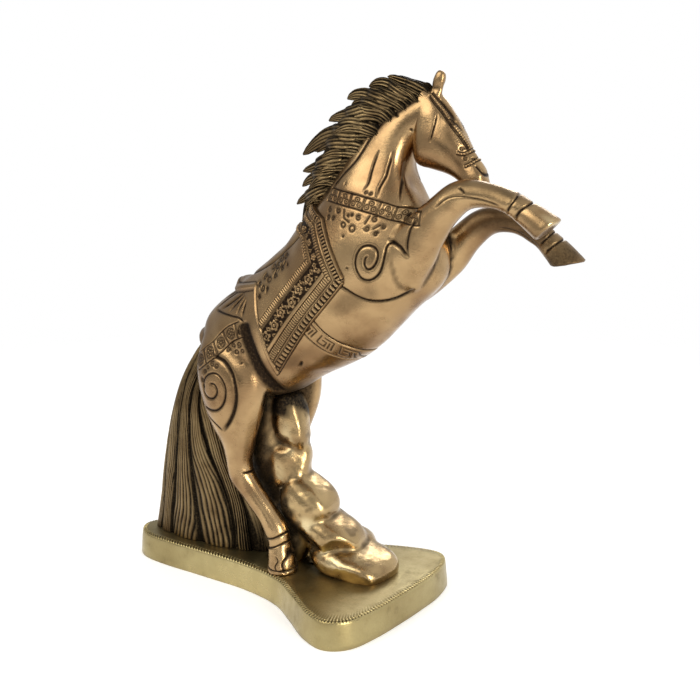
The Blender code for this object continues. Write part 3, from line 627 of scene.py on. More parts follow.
POLISHED = metal("brass_polished", (0.46, 0.31, 0.155), (0.235, 0.138, 0.066), (0.022, 0.014, 0.009), 0.23)
ANTIQUE = metal("brass_antique", (0.36, 0.255, 0.125), (0.17, 0.108, 0.05), (0.012, 0.009, 0.006), 0.3)
STONE = metal("brass_rock", (0.46, 0.33, 0.165), (0.24, 0.152, 0.072), (0.018, 0.014, 0.011), 0.22,
              grain=0.4, wear=0.7)
SATIN = metal("brass_satin", (0.50, 0.41, 0.20), (0.37, 0.29, 0.13), (0.03, 0.021, 0.011), 0.27,
              grain=0.5, wear=0.7, underside_shade=0.3)
STEEL = metal("screw_steel", (0.46, 0.46, 0.47), (0.30, 0.29, 0.28), (0.06, 0.055, 0.05), 0.34,
              grain=0.6)

for place in ("front", "middle", "tail"):
    for kind in ("base_screw_", "base_washer_"):
        for kept in bpy.data.objects[kind + place].material_slots:
            kept.material = STEEL


def show(name, points, faces, finish, node_name, patina_and_painted_light, normals=None):
    """Shown piece in metres, with its darkness, that stands for a node of the frame."""
    mesh = bpy.data.meshes.new(name)
    mesh.from_pydata(((points + SHIFT) * MM).tolist(), [], faces if isinstance(faces, list) else faces.tolist())
    mesh.validate()
    mesh.shade_smooth()
    # Darkness per point: patinated lines and hollows and painted shade above 0, painted highlights below 0.
    layer = mesh.attributes.new("patina_and_painted_light", "FLOAT", "POINT")
    layer.data.foreach_set("value", np.clip(patina_and_painted_light, -1, 1).astype(np.float32))
    if normals is not None:
        mesh.normals_split_custom_set_from_vertices(normals.astype(np.float32))
    mesh.materials.append(finish)
    item = bpy.data.objects.new(name, mesh)
    bpy.context.scene.collection.objects.link(item)
    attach(item, "root")
    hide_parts(node_name)


# Skins: refined where they are chased, and darkened in their hollows

RIM_DEPTH = 3.5


def hollows(points, triangles, normals, rounds=6, gain=6.0):
    """Darkness of the small hollows of a skin."""
    sunk = ((spread(points, edges_of(triangles), rounds) - points) * normals).sum(1)
    return np.clip(gain * (sunk - 0.02), 0, 1)


def shaped(points, triangles, places):
    """Skin moved out or in round given places: x, |y|, z, spread, and height along the skin."""
    normals = normals_of(points, triangles)
    moved = points.copy()
    for x, y, z, size, rise in places:
        gap = (points[:, 0] - x) ** 2 + (np.abs(points[:, 1]) - y) ** 2 + (points[:, 2] - z) ** 2
        moved += normals * (rise * np.exp(-gap / (2 * size * size)))[:, None]
    return moved


def with_painted_light(points, dark, places):
    """Darkness with soft places of painted shade and dark reflection, and with a negative amount places of painted
    highlight, laid over it.

    Each place has x, z, half length, half thickness, tilt and amount.
    """
    waves = 0.14 * ripple(points, 11, 91)
    for x, z, reach, thick, tilt, amount in places:
        across, over = points[:, 0] - x, points[:, 2] - z
        turn = math.radians(tilt)
        gap = np.hypot((across * math.cos(turn) + over * math.sin(turn)) / reach,
                       (over * math.cos(turn) - across * math.sin(turn)) / thick) + waves
        laid = amount * (1 - step(gap, 0.25, 1.3))
        dark = np.maximum(dark, laid) if amount > 0 else dark + laid * (1 - step(dark, 0.0, 0.35))
    return dark


def skin(points, triangles, features, size, labels=None):
    """Refined and chased skin: points, triangles, normals, darkness and labels."""
    points, triangles, normals, labels = refined(points, triangles, size, labels)
    height, dark, _ = chase(features, points, normals)
    points = points + normals * height[:, None]
    normals = normals_of(points, triangles)
    dark = np.maximum(dark, hollows(points, triangles, normals))
    return points, triangles, unit(spread(normals, edges_of(triangles), 2)), dark, labels


def closed(points, triangles, normals, dark):
    """One part cut out of a skin, with its rim sunk and its openings closed inside."""
    used, again = np.unique(triangles, return_inverse=True)
    triangles = again.reshape(-1, 3)
    pairs = triangles[:, TRIANGLE_SIDES].reshape(-1, 2)
    _, first, times = np.unique(np.sort(pairs, 1), axis=0, return_index=True, return_counts=True)
    rim = pairs[first[times == 1]]
    points, normals, dark = points[used], normals[used], dark[used]
    corners = np.unique(rim)
    sunk = points[corners] - normals[corners] * RIM_DEPTH
    below = np.zeros(len(points), int)
    below[corners] = len(points) + np.arange(len(corners))
    a, b = rim.T
    centre = np.full(len(rim), len(points) + len(corners))
    triangles = np.vstack((triangles, np.stack((b, a, below[a]), 1), np.stack((b, below[a], below[b]), 1),
                           np.stack((below[b], below[a], centre), 1)))
    return (np.vstack((points, sunk, sunk.mean(0))), triangles,
            np.vstack((normals, normals[corners], (0, 0, 1))), np.append(dark, np.ones(len(corners) + 1)))


# Body skin

CELL = 1.15
TRUNK_SIDES, LEG_SIDES, HEAD_SIDES = 72, 48, 48


def limb(stations, side, sole=None):
    """Leg whose hoof is cut flat at its sole, as points and a list of faces."""
    rings = domed(spine_rings(stations, side, sole is None, CASTING_STEPS), both=False)
    grid = ring_grid(rings, LEG_SIDES)
    if sole:
        (middle_x, middle_z), facing = sole
        facing = np.array((facing[0], 0, facing[1])) / math.hypot(*facing)
        run = np.gradient(rings[0], axis=0) * (1, 0, 1)
        over = (grid - (middle_x, 0, middle_z + DECK)) @ facing
        over[(rings[0][:, 0] < middle_x - 25) | (run @ facing <= 0)] = 0
        back = np.clip(over, 0, None) / np.maximum(run @ facing, 0.05)[:, None]
        grid = grid - back[:, :, None] * run[:, None, :]
    return tube(grid)


# Raised and hollowed places on the body, as in shaped
MUSCLES = (
    (46, 26, 210, 12, 1.0), (30, 28, 183, 8, -1.2), (62, 22, 199, 6, -0.9), (-62, 24, 135, 14, 1.0),
    (-38, 27, 152, 8, -1.4), (40, 15, 262, 8, -0.8), (28, 20, 245, 7, 0.5), (-56, 27, 108, 9, 0.6),
    (96, 24, 247, 5, 0.7), (95, 24, 232, 5, 0.5), (-50, 22, 74, 5, 0.8), (66, 12, 232, 8, 0.8),
    (72, 24, 212, 5, 0.7), (84, 25, 238, 6, 0.5), (50, 22, 226, 5, -0.5), (-30, 22, 140, 6, -0.8),
    (-46, 20, 84, 4, 0.6), (-58, 20, 84, 4, -0.5), (117, 24, 242, 3.5, 0.6), (117, 24, 226, 3.5, 0.6),
)
body_points, body_faces = fused(
    [tube(ring_grid(domed(edge_rings(TRUNK, CASTING_STEPS)), TRUNK_SIDES)), limb(FORELEG_RIGHT, -1, SOLE_RIGHT),
     limb(FORELEG_LEFT, 1, SOLE_LEFT), limb(HINDLEG_RIGHT, -1), limb(HINDLEG_LEFT, 1)], CELL)
body_points = filleted(body_points, body_faces, CELL, radius=7.0, rounds=50)
body_points = shaped(body_points, body_faces, MUSCLES)
body_points += normals_of(body_points, body_faces) * (0.16 * ripple(body_points, size=14, seed=3))[:, None]

# Motifs of the bands: distance along and across
COLLAR_MOTIF = ((-2.0, 1.25, 1.2), (2.0, 1.25, 1.2), (0, -1.25, 1.2), (-2.0, 1.25, 0.15), (2.0, 1.25, 0.15),
                (0, -1.25, 0.15), (-3.95, -3.4, -3.95, 3.4), (3.95, -3.4, 3.95, 3.4))
GIRTH_MOTIF = ((-3.6, -2.6, -3.6, 2.6), (-3.6, 2.6, 0.6, 2.6), (0.6, 2.6, 0.6, -0.4), (0.6, -0.4, -1.6, -0.4),
               (4.2, 2.8, 4.2, -2.6), (4.2, -2.6, -1.4, -2.6), (2.4, -1.0, 2.4, 2.8))
BREECH_MOTIF = rosette(2.7) + [(-4.4, -4.2, -4.4, 4.2), (4.4, -4.2, 4.4, 4.2), (0, 0, 3.2)]
COLLAR = ((12, 243.6), (18, 242.6), (24.2, 241.6), (32.5, 240.2), (39.8, 238.6), (47.4, 236.7), (54.2, 234.6),
          (65.4, 233.2), (72, 233))
GIRTH = ((1.5, 175), (4.6, 172), (8, 167.6), (12, 163.5), (17.1, 159.4), (21.5, 156.6), (27, 153.5), (33, 151))
BREECHING = ((-76, 141.5), (-72.5, 143.7), (-66.1, 148.1), (-60.8, 152), (-55.5, 157.1), (-49.8, 161.7),
             (-41.8, 165.2))
SHOULDER_COIL = (
    (55.9, 220.1), (53.4, 219.4), (52, 217), (51.5, 213.9), (49.8, 206.5), (47.2, 202.1), (42.8, 199.5),
    (38.6, 200.6), (36.1, 204.8), (35.3, 209), (36.4, 213.8), (39.1, 217.1), (43.2, 218.1), (46.5, 216.8),
    (47.8, 213.8), (47.3, 210.1), (45.3, 206.6), (42.6, 205.4), (40.7, 207.7), (41, 210.9), (42.8, 213))
THIGH_COIL = (
    (-62.2, 131.4), (-58.5, 131.8), (-56.2, 129.5), (-56.5, 125.9), (-59.7, 122.9), (-64.5, 123), (-67.6, 126.5),
    (-66.8, 132.8), (-63, 136.9), (-57.5, 138.4), (-53.2, 136.3), (-50.3, 131.2), (-50.3, 125.2), (-52.5, 119.8),
    (-57, 116.1), (-63.2, 115.3), (-69.7, 116.2))
THIGH_LEAF = ((-63, 148.6), (-58.5, 148.1), (-51.9, 146), (-46.6, 140.3), (-44.3, 133.7), (-43.6, 125.7),
              (-45.1, 117.4), (-48.8, 109.9), (-53.9, 103.3))

# Cut lines on both sides: width, depth, fade at the ends, and the places that they pass
BODY_CUTS = (
    (0.62, 0.9, 2, *SHOULDER_COIL), (0.55, 0.8, 2, *THIGH_COIL), (0.95, 1.2, 5, *THIGH_LEAF),
    (0.5, 0.6, 3, (-53.9, 103.3), (-59.5, 107.1), (-68.7, 111)),
    (0.95, 1.3, 3, (51.9, 220.8), (55.9, 220.1), (60.3, 218.1), (63.2, 215.1), (65.4, 212.7)),
    (0.6, 0.7, 5, (71, 234.3), (66.7, 229.1), (65.1, 223), (64.7, 217.8), (65.4, 213.2)),
    (0.6, 1.0, 6, (24, 197), (28.8, 194.2), (33.5, 191.1), (39.4, 188.5), (46.1, 187.8), (53, 189.3),
     (58.9, 192.2), (64.6, 195.5)),
    (0.5, 0.9, 6, (41.5, 266.6), (40.2, 263.7), (39.1, 259.6), (38.4, 255.5), (37.8, 249.8), (36.6, 247.3),
     (35.5, 245.2)),
    (0.62, 1.1, 6, (48.3, 266.8), (48, 261.7), (47.2, 257.6), (46.6, 253.5), (45.4, 250.5), (44.2, 246.9),
     (44, 242.3)),
    (0.5, 0.9, 6, (53.1, 261.6), (53.1, 257.5), (53.9, 252.4), (54.2, 248.4), (54.6, 244.3), (55.5, 239.3)),
    (0.5, 0.7, 1, (23.6, 250.2), (23.5, 248.4)), (0.6, 0.8, 2, (46.5, 287.2), (48.4, 285.1), (50.6, 283.5)),
    (0.7, 0.5, 2, (53.6, 292.2), (43.1, 286.3), (39.5, 279.6), (34.5, 272.9), (27.7, 261.5), (19.3, 253),
     (13.6, 247)),
    (0.55, 0.8, 3, (-68.1, 173), (-58, 172.4), (-50, 171.9), (-43.7, 171.5), (-39, 169)),
    (0.6, 0.7, 5, (-44, 186), (-50, 181.5), (-56.5, 177), (-61.5, 174.2)),
    (0.6, 0.7, 5, (-47, 189), (-56, 184.5), (-65, 179.5)),
    (0.6, 0.7, 5, (-43, 185), (-47.4, 180), (-51.6, 175.6), (-53.6, 173.4)),
    (0.6, 0.7, 5, (-41.6, 184), (-44, 178.6), (-46.4, 172.6)),
    (0.6, 0.7, 4, (-40.4, 183), (-41, 176.6), (-41.8, 171)), (0.5, 0.6, 6, (-48, 187), (-59, 180.5), (-69, 173)),
    (0.5, 0.7, 3, (-43.7, 167.5), (-43.7, 163.3), (-40.4, 161.2)), (0.6, 0.9, 2, (-3.2, 149.8), (-6.3, 145.4)),
)
# Hollows behind the cloth and along the mane, darkened with painted shade
BODY_HOLLOWS = (
    cut(((-40, 170), (-38, 164), (-35.6, 157), (-32, 147), (-28.6, 138), (-26, 131), (-24.8, 126)), 3.0, 2.0, 3,
        dark=1.8),
    cut(((62, 295.5), (52, 288.5), (41, 282.5), (30, 275), (20.5, 264), (12, 251.5), (6, 241)), 1.9, 0.3, 3, dark=0.9),
)
# Creases round the legs of one side, which is -1 for the right
LEG_CUTS = (
    (-1, 0.45, 0.7, 2, (-46.3, 76.4), (-42, 77), (-38.4, 76.7)),
    (-1, 0.5, 0.8, 2, (120.7, 247.5), (121.6, 245), (119.4, 241), (116.5, 237)),
    (-1, 0.6, 0.9, 2, (131, 245), (128.4, 242.4), (124.5, 239), (120.8, 234.2)),
    (1, 0.5, 0.8, 2, (128.6, 227), (125.6, 222.7), (121.2, 218.6)),
    (1, 0.6, 0.9, 2, (134.6, 224), (130.4, 219.9), (124.4, 214.6)),
    (-1, 0.5, 0.8, 1, (-32.5, 37.2), (-28.6, 38), (-21.9, 40.4), (-13.6, 45.8)),
    (-1, 0.5, 0.8, 1, (-32.8, 31.4), (-29.3, 32), (-22.1, 34.6), (-12.5, 39.3)),
    (-1, 0.55, 0.9, 2, (-17.6, 33), (-16.4, 28.5), (-18, 24), (-16, 18)),
    (-1, 0.4, 0.6, 2, (-14.6, 30.5), (-12.6, 26), (-14, 21.5)),
    (-1, 0.35, 0.5, 2, (-22.5, 29), (-20.6, 26), (-22, 22.5), (-20.4, 19)),
    (-1, 0.45, 0.6, 2, (-33, 21.4), (-24, 19.9), (-12.5, 20.2)),
    (1, 0.5, 0.8, 1, (-18.5, 37.2), (-12, 39), (-4, 44)), (1, 0.5, 0.8, 1, (-19, 31.4), (-12, 33), (-2, 38)),
)
FORELEG_CUTS = (
    cut(((80, 238.5), (86, 243.4), (93, 244.8), (104, 243.4), (113, 240.6)), 0.42, 0.5, 3, -1, dark=0.8),
    cut(((92, 249.4), (94.6, 247.6), (96, 245.6)), 0.5, 0.6, 1, -1),
    cut(((98, 226.5), (105, 226), (113, 223), (121, 217.5)), 0.42, 0.5, 3, 1, False, 0.8),
)
# Pendants below the collar, florets round the breeching, and pits
BODY_STROKES = (
    (0.32, curls((15.6, 235.4, 1.5, 90), (15.2, 231.6, 1.4, 250), (18.8, 231, 1.3, 30), (22, 235.2, 1.5, 140),
                 (35.4, 231.8, 1.5, 60), (31.2, 233.4, 0.8, 200))
     + [(26.3, 227.9, 1.2), (32.2, 226.2, 1.6), (28.9, 232.8, 0.5), (25.7, 235.6, 26.1, 231.5),
        (26.1, 231.5, 29.7, 229.4)]),
    (0.32, curls((44.8, 231.4, 1.7, 60), (40.9, 226.6, 1.5, 200), (46, 224, 1.4, 20), (49.8, 227.7, 1.2, 120),
                 (37.6, 244.9, 1.0, 0), (40.5, 244.6, 1.0, 180))
     + [(41.9, 233.1, 39.6, 229), (47.8, 228.5, 44.5, 226.5)]),
    (0.45, curls((-66.2, 138.2, 1.7, 0), (-68.4, 133, 1.6, 120), (-60.3, 143.4, 1.8, 60), (-57, 142.9, 1.7, 200))
     + [(-63.5, 141.2, 0.9), (-67.5, 129.4, 0.8)]),
    (0.45, curls((-47, 155.6, 1.9, 100), (-43.1, 156.3, 1.9, 250), (-50.6, 152.3, 1.6, 0))
     + [(-45, 151.6, 1.1), (-41, 152.6, 0.9)]),
    (0.4, [(-41.5, 145.5, 0.3), (30.5, 205.5, 0.3), (27, 222, 0.25), (57, 277, 0.3), (60.5, 274, 0.25)]),
)
body_features = [
    strap(COLLAR, 3.5, 8.6, COLLAR_MOTIF, facing=False, rise=0.15, width=0.42, depth=0.4, border=0.7),
    strap(GIRTH, 5.0, 11.5, GIRTH_MOTIF, facing=False, rise=0.3, width=0.4, depth=0.45, border=0.8),
    strap(BREECHING, 4.7, 9.6, BREECH_MOTIF, facing=True, rise=0.15, width=0.44, depth=0.4, border=0.8),
    *(cut(line, width, depth, taper) for width, depth, taper, *line in BODY_CUTS), *BODY_HOLLOWS,
    *(cut(line, width, depth, taper, side, False) for side, width, depth, taper, *line in LEG_CUTS), *FORELEG_CUTS,
    *(engraving(strokes, width=0.5, depth=depth) for depth, strokes in BODY_STROKES),
]

# Places of painted shade and dark reflection, and with a negative amount of painted highlight, each with x, z, half
# length, half thickness, tilt and amount: on both sides, on the right foreleg, and on the left one
BODY_PAINTED_LIGHT = ((31, 187, 17, 5.5, 24, 0.42), (-47, 181, 9, 6, 40, 0.4), (97, 212, 9, 4, -5, 0.35),
         (-2, 240, 5, 9, -35, 0.7), (-9, 150, 16, 3.5, 28, 0.3), (-33, 128, 5, 21, 4, -0.85),
         (-39.5, 96, 4, 16, 18, -0.8), (-36, 147, 3, 8, 12, -0.6), (20, 170, 20, 5, 30, -0.35),
         (62, 182, 12, 6, 40, -0.5), (76, 196, 8, 4, 40, -0.5), (54, 268, 8, 8, 0, -0.35),
         (50, 238, 5, 8, 0, -0.35), (-20, 24, 5, 9, 0, -0.5), (70, 262, 10, 4, -30, -0.4),
         (110, 229, 16, 2.6, -12, -0.3), (-28, 44, 3, 9, 40, -0.4))
NEAR_PAINTED_LIGHT = ((86, 248, 26, 4.5, 4, 0.52), (114, 246, 18, 3.5, -14, 0.5), (134, 230, 6, 7, 0, 0.3),
              (66, 240, 9, 4, 42, 0.35), (139, 233, 7, 3, -40, -0.5))
FAR_PAINTED_SHADE = ((96, 231, 26, 10, 0, 0.6), (120, 224, 18, 10, -30, 0.66), (133, 212, 16, 15, 0, 0.74),
             (128, 200, 12, 3, 20, 0.4))
BOX_MARGIN, FAR = 4.0, 99.0
PARTS = ("trunk_right_half", "trunk_left_half", "foreleg_right", "foreleg_left", "hindleg_right", "hindleg_left")


def body_size(points, normals):
    """Wanted edge length on the body."""
    near = chase(body_features, points, normals)[2]
    return np.clip((0.3) + 0.3 * near, 0, CELL * 1.3)


def casting_gap(name, points):
    """Distance of points from a casting of the frame, in millimetres, or FAR."""
    mesh = bpy.data.objects[name].data
    tree = BVHTree.FromPolygons([corner.co for corner in mesh.vertices], [face.vertices for face in mesh.polygons])
    low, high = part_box(name)
    places = (points + SHIFT) * MM
    close = ((places > np.array(low) - BOX_MARGIN * MM) & (places < np.array(high) + BOX_MARGIN * MM)).all(1)
    gap = np.full(len(points), FAR)
    for index in np.nonzero(close)[0]:
        gap[index] = tree.find_nearest(places[index])[3] / MM
    return gap


# Each place of the skin belongs to the casting that lies nearest to it
gaps = [casting_gap(name, body_points) for name in PARTS]
leads = np.stack([np.clip(np.minimum(*gaps[:2]) - gap, -8, 8) for gap in gaps[2:]], 1)
leads = spread(leads, edges_of(body_faces), 6)[body_faces].mean(1)
labels = np.where(leads.max(1) > 0, 2 + leads.argmax(1), body_points[body_faces][:, :, 1].mean(1) > 0)

points, triangles, normals, dark, labels = skin(body_points, body_faces, body_features, body_size, labels)
x, y, z = points.T
# Painted shade under the belly between the hind legs and the rocks, and on the inner sides of the hind legs.
groin_shade = step(x, -36, -27) * (1 - step(x, -6, 2)) * (1 - step(z, 128, 140))
dark = np.maximum(dark, 0.7 * groin_shade * (np.abs(y) < 12) * (normals[:, 2] < 0.3))
inner_leg_shade = step(-normals[:, 1] * np.sign(y), 0.0, 0.5) * step(14 - np.abs(y), -3, 3)
dark = np.maximum(dark, 0.85 * inner_leg_shade * (x < 0) * (1 - step(z, 140, 150)))
# Painted shade, dark reflections and painted highlights laid over the body's darkness; the far foreleg gets more
# painted shade.
dark = with_painted_light(points, dark, BODY_PAINTED_LIGHT)
dark = np.where(y > 0, with_painted_light(points, dark, FAR_PAINTED_SHADE), with_painted_light(points, dark, NEAR_PAINTED_LIGHT))
for label, name in enumerate(PARTS):
    part = closed(points, triangles[labels == label], normals, dark)
    show(name + "_shown", part[0], part[1], POLISHED, name, part[3], part[2])

# Head with ears

HEAD_CELL = 0.75
# Ear in side view, with its half widths and half thicknesses
EAR = ((66.5, 286), (67.7, 291.5), (69, 297), (70.3, 301.5), (71.3, 304.8), (71.8, 306.6))
EAR_WIDTHS = (2.9, 3.3, 3.4, 3.3, 2.8, 1.7)
EAR_THICKNESSES = (2.3, 2.5, 2.4, 2.3, 2.0, 1.2)
# Raised and hollowed places on the head, as in shaped, and the line of its cheek strap
FACE = (
    (79, 7, 281, 2.6, 1.3), (79.8, 8, 280, 1.0, -1.0), (73, 8, 268, 6, 0.9), (87, 6, 264, 4, -0.7),
    (96, 5.5, 254.5, 2.2, 0.8), (97.4, 4.6, 253, 0.9, -1.3), (91, 5, 250, 2.5, 0.5), (66.5, 7, 285, 3, 0.5),
    (70.2, 5.6, 298, 1.6, -0.9), (67.2, 5.6, 298, 1.6, -0.9),
)
BRIDLE = ((66.4, 295.2), (69.8, 291.4), (73.4, 287.6), (77.4, 282.8), (81.2, 277.8), (85, 272.9), (88.2, 267.8))


def horn(points, widths, thicks, sides=16):
    """Flattened tapering tube through points, as points and faces."""
    run = unit(np.gradient(np.asarray(points, float), axis=0))
    across = unit(np.cross(run, (0, 1.0, 0)))
    angle = np.arange(sides) * (2 * math.pi / sides)
    return tube(np.asarray(points)[:, None]
                + across[:, None] * (np.cos(angle)[None, :, None] * np.asarray(widths)[:, None, None])
                + np.cross(across, run)[:, None] * (np.sin(angle)[None, :, None] * np.asarray(thicks)[:, None, None]))


head_shapes = [tube(ring_grid(domed(edge_rings(HEAD, CASTING_STEPS)), HEAD_SIDES))]
for side, back in ((-1, 0), (1, -3)):
    spine = [(x + back, side * (3.2 + 0.5 * (z - 286) / 18), z) for x, z in EAR]
    head_shapes.append(horn(spine, EAR_WIDTHS, EAR_THICKNESSES))
head_points, head_faces = fused(head_shapes, HEAD_CELL)
head_points = filleted(head_points, head_faces, HEAD_CELL, radius=3.0, rounds=30)
head_points = shaped(head_points, head_faces, FACE)
head_features = [
    beads(BRIDLE, half=0.75, pitch=1.3, rise=0.4),
    *(cut([(x + 0.9 * over, z + 1.1 * over) for x, z in BRIDLE], 0.3, 0.5, 1) for over in (-1, 1)),
    beads(((82.4, 265.5), (86.1, 265), (90.3, 268.1)), half=0.8, pitch=1.4, facing=False),
    beads(((86.6, 258.6), (90.1, 260.6), (93.3, 263.7)), half=0.7, pitch=1.4, facing=False),
    cut(((71.4, 285.5), (70.9, 280.5), (69.7, 275), (68.7, 270.5)), 0.5, 0.7),
    cut(((91.7, 259.3), (94.9, 256.3), (97.5, 253.2)), 0.4, 0.6, 1, facing=False),
    cut(((89, 247.6), (92.6, 247.8), (96.6, 249.4)), 0.4, 0.7, 1, facing=False),
    engraving(curls((84.7, 267.6, 1.1, 0), (86.8, 262.8, 1.2, 120), (90, 262.6, 0.9, 240))
              + [(79.5, 280.5, 0.9), (79.5, 280.5, 0.2), (97.2, 254.2, 0.6)], width=0.32, depth=0.45),
    cut(((77, 282.4), (79.6, 281.6), (81.6, 279.6)), 0.3, 0.5, 1),
]


def head_size(points, normals):
    """Wanted edge length on the head."""
    return np.clip(0.26 + 0.3 * chase(head_features, points, normals)[2], 0, 0.9)


points, triangles, normals, dark, _ = skin(head_points, head_faces, head_features, head_size)
# Painted highlights on the jaw, below the ear and at the muzzle, and painted shade along the forehead.
dark = with_painted_light(points, dark, ((76, 256, 14, 3.0, -36, -0.7), (66, 272, 4, 6, 0, -0.5), (97, 250, 4, 5, 0, -0.35),
                            (89, 274, 12, 2.5, -56, 0.45)))
show("head_shown", points, triangles, POLISHED, "head", dark, normals)

# Saddle cloth

# Rise of the cloth over the body, dip outside its edge, how far it goes on there, and its lowest place
CLOTH_RISE, CLOTH_DIP, CLOTH_MARGIN, CLOTH_LOWEST = 2.4, 1.6, 2.6, 130
# Spacing of teeth, florets and rungs and the size of florets, on the front band and on the foot band
TOOTH_PITCH, FLORET_PITCH, FLORET_SIZE = (1.9, 2.9), (8.4, 8.8), (1.9, 3.1)
RUNG_PITCH = 1.5
# Where the cloth's bands begin and end, counted inwards from its front and foot edges
FRONT_BANDS = (0, 4.2, 5.6, 8.4, 9.0, 13.8, 14.6, 17.2)
FOOT_BANDS = (0, 4.4, 5.4, 9.4, 12.0, 20.4, 21.0, 24.6)
SEAT_LINE = ((0.7, 223.2), (-7.3, 215.8), (-16.1, 208.9), (-24.5, 202.6), (-35.8, 196.6), (-51.5, 190.9))
PANEL_REAR = ((-37.5, 188.5), (-36.4, 182.3), (-34.2, 177.1), (-31, 171.8), (-23.8, 166.7), (-19.7, 159.7))
CLUSTER = curls((-12.4, 207.4, 1.8, 30), (-16.2, 206.2, 2.1, 210), (-17.6, 201.6, 2.0, 80), (-21.6, 200.4, 2.1, 300),
                (-22.2, 194.6, 2.1, 150), (-26.6, 194.8, 1.9, 20), (-26.2, 189.4, 1.9, 200), (-29.8, 190.6, 1.3, 60),
                (-13.2, 201.4, 1.3, 100), (-17.8, 196.6, 1.4, 10), (-22.6, 189.6, 1.2, 260), (-27.6, 184.6, 1.2, 90))
CLUSTER += [(-12, 204.8, -13.4, 201.6), (-14.6, 203.4, -16.2, 199.6), (-17.6, 200.8, -18.8, 196.4),
            (-9.4, 203.6, 0.3), (-23.2, 190.4, -22.4, 187.6)]
CANTLE_PLACE, CANTLE_HEIGHT = (-57, 192.5), 8.0
CANTLE_LEAN = np.array((-0.9, 0, 0.55))


def polygon_inside(line, x, z):
    """Whether side-view points lie inside a closed outline."""
    inside = np.zeros(len(x), bool)
    for (ax, az), (bx, bz) in zip(line, np.roll(line, -1, 0)):
        crosses = (az > z) != (bz > z)
        with np.errstate(divide="ignore", invalid="ignore"):
            inside ^= crosses & (x < (bx - ax) * (z - az) / (bz - az) + ax)
    return inside


def cloth_relief(points):
    """Height, darkness, distance inside the edge, and plainness of the cloth at points."""
    x, z = points[:, 0], points[:, 2]
    (u_front, front, _), (u_foot, foot, _), (_, rear, _) = (
        along(lift(line), x, z) for line in (CLOTH_FRONT, CLOTH_FOOT, CLOTH_REAR))
    front, foot, rear = np.abs(front), np.abs(foot), np.abs(rear)
    edge = np.minimum(np.minimum(front, foot), rear) * np.where(polygon_inside(lift(CLOTH), x, z), 1, -1)
    front_zone = np.interp(front, FRONT_BANDS, range(8), right=9)
    foot_zone = np.interp(foot, FOOT_BANDS, range(8), right=9)
    on_front = front_zone < foot_zone
    zone = np.minimum(front_zone, foot_zone)
    u, away = np.where(on_front, (u_front, front), (u_foot, foot))

    def zone_of(low, high, soft=0.06):
        return step(zone, low - soft, low + soft) * (1 - step(zone, high - soft, high + soft))

    teeth = zone_of(0.12, 0.92)
    tooth = 0.5 + 0.5 * np.cos(2 * math.pi * u / np.where(on_front, *TOOTH_PITCH))
    block = step(tooth, 0.42, 0.68) * step(away, 0.7, 1.3)
    ladder = np.maximum(zone_of(2.05, 2.95), zone_of(6.1, 6.9))
    rung = 0.5 + 0.5 * np.cos(2 * math.pi * u / RUNG_PITCH)
    field = zone_of(4.0, 5.0)
    pitch = np.where(on_front, *FLORET_PITCH)
    size = np.where(on_front, *FLORET_SIZE)
    across = np.where(on_front, front - 11.4, foot - 16.2) + 0.9 * np.sin(2.6 * (u // pitch))
    phase = (u / pitch) % 1 * pitch - pitch / 2
    gap, turn = np.hypot(phase, across), np.arctan2(across, phase)
    ring = groove(gap - 0.62 * size + 0.25 * np.sin(3 * turn + u), 0.4)
    petal = step(0.5 + 0.5 * np.cos(5 * turn), 0.3, 0.7) * (gap < size) * (gap > 0.7 * size)
    sprig = groove(np.abs(phase) - pitch / 2 + 0.9 * np.sin(across * 1.3), 0.42)
    motif = np.clip(ring + 0.8 * petal + (gap < 0.28 * size) + 0.9 * sprig, 0, 1)
    height = (teeth * (0.75 * block - 0.55) + ladder * (0.55 * step(rung, 0.25, 0.6) + 0.25)
              + 0.45 * zone_of(3.1, 3.9) * ~on_front + field * (0.75 * motif - 0.6))
    dark = np.maximum.reduce((teeth * (1 - block), ladder * (1 - step(rung, 0.12, 0.5)) * 0.95,
                              field * np.clip(1.05 - 1.1 * motif, 0.08, 1)))
    for border in range(1, 8):
        line = groove(away - np.where(on_front, FRONT_BANDS[border], FOOT_BANDS[border]), 0.34)
        height -= 0.4 * line
        dark = np.maximum(dark, 0.85 * line)
    seat, panel = (along(curve_rows(line, LINE_STEPS), x, z)[1] for line in (SEAT_LINE, PANEL_REAR))
    for gap, width, depth in ((seat, 0.6, 0.8), (panel, 0.45, 0.6)):
        height -= depth * groove(gap, width)
        dark = np.maximum(dark, groove(gap, width))
    within = step(zone, 7.0, 7.2)
    cluster = motif_gap(x, z, CLUSTER)
    height -= 0.5 * groove(cluster, 0.68) * within
    dark = np.maximum(dark, within * np.maximum(groove(cluster, 0.68), 0.62 * groove(cluster, 1.7)))
    height += 0.5 * step(seat, 0.4, 3.0)
    ahead = step(rear, 2.0, 3.0)
    height = height * ahead + 0.6 * groove(rear - 1.3, 0.8)
    dark = np.maximum(dark * ahead, 0.95 * groove(rear - 2.9, 0.45))
    plain = within * (cluster > 2.5) * (np.minimum(np.abs(seat), np.abs(panel)) > 1.2) * (rear > 4)
    return height, dark, edge, plain


def cloth_size(points, normals):
    """Wanted edge length on the cloth."""
    _, _, edge, plain = cloth_relief(points)
    fine = np.where(points[:, 1] < 0, 0.34, 0.46) + 0.4 * plain
    return np.where(edge > -0.8, fine, 2.0) + np.clip(-edge - 0.8, 0, 3) * 0.5


def cantle(points):
    """Extra height of the raised lip behind the seat."""
    x, z = points[:, 0] - CANTLE_PLACE[0], points[:, 2] - CANTLE_PLACE[1]
    lip = np.exp(-np.abs((0.80 * x + 0.60 * z) / 4.2) ** 3) * step(-0.60 * x + 0.80 * z, -8, 0)
    return CANTLE_HEIGHT * lip * (1 - step(np.abs(points[:, 1]), 12, 19))


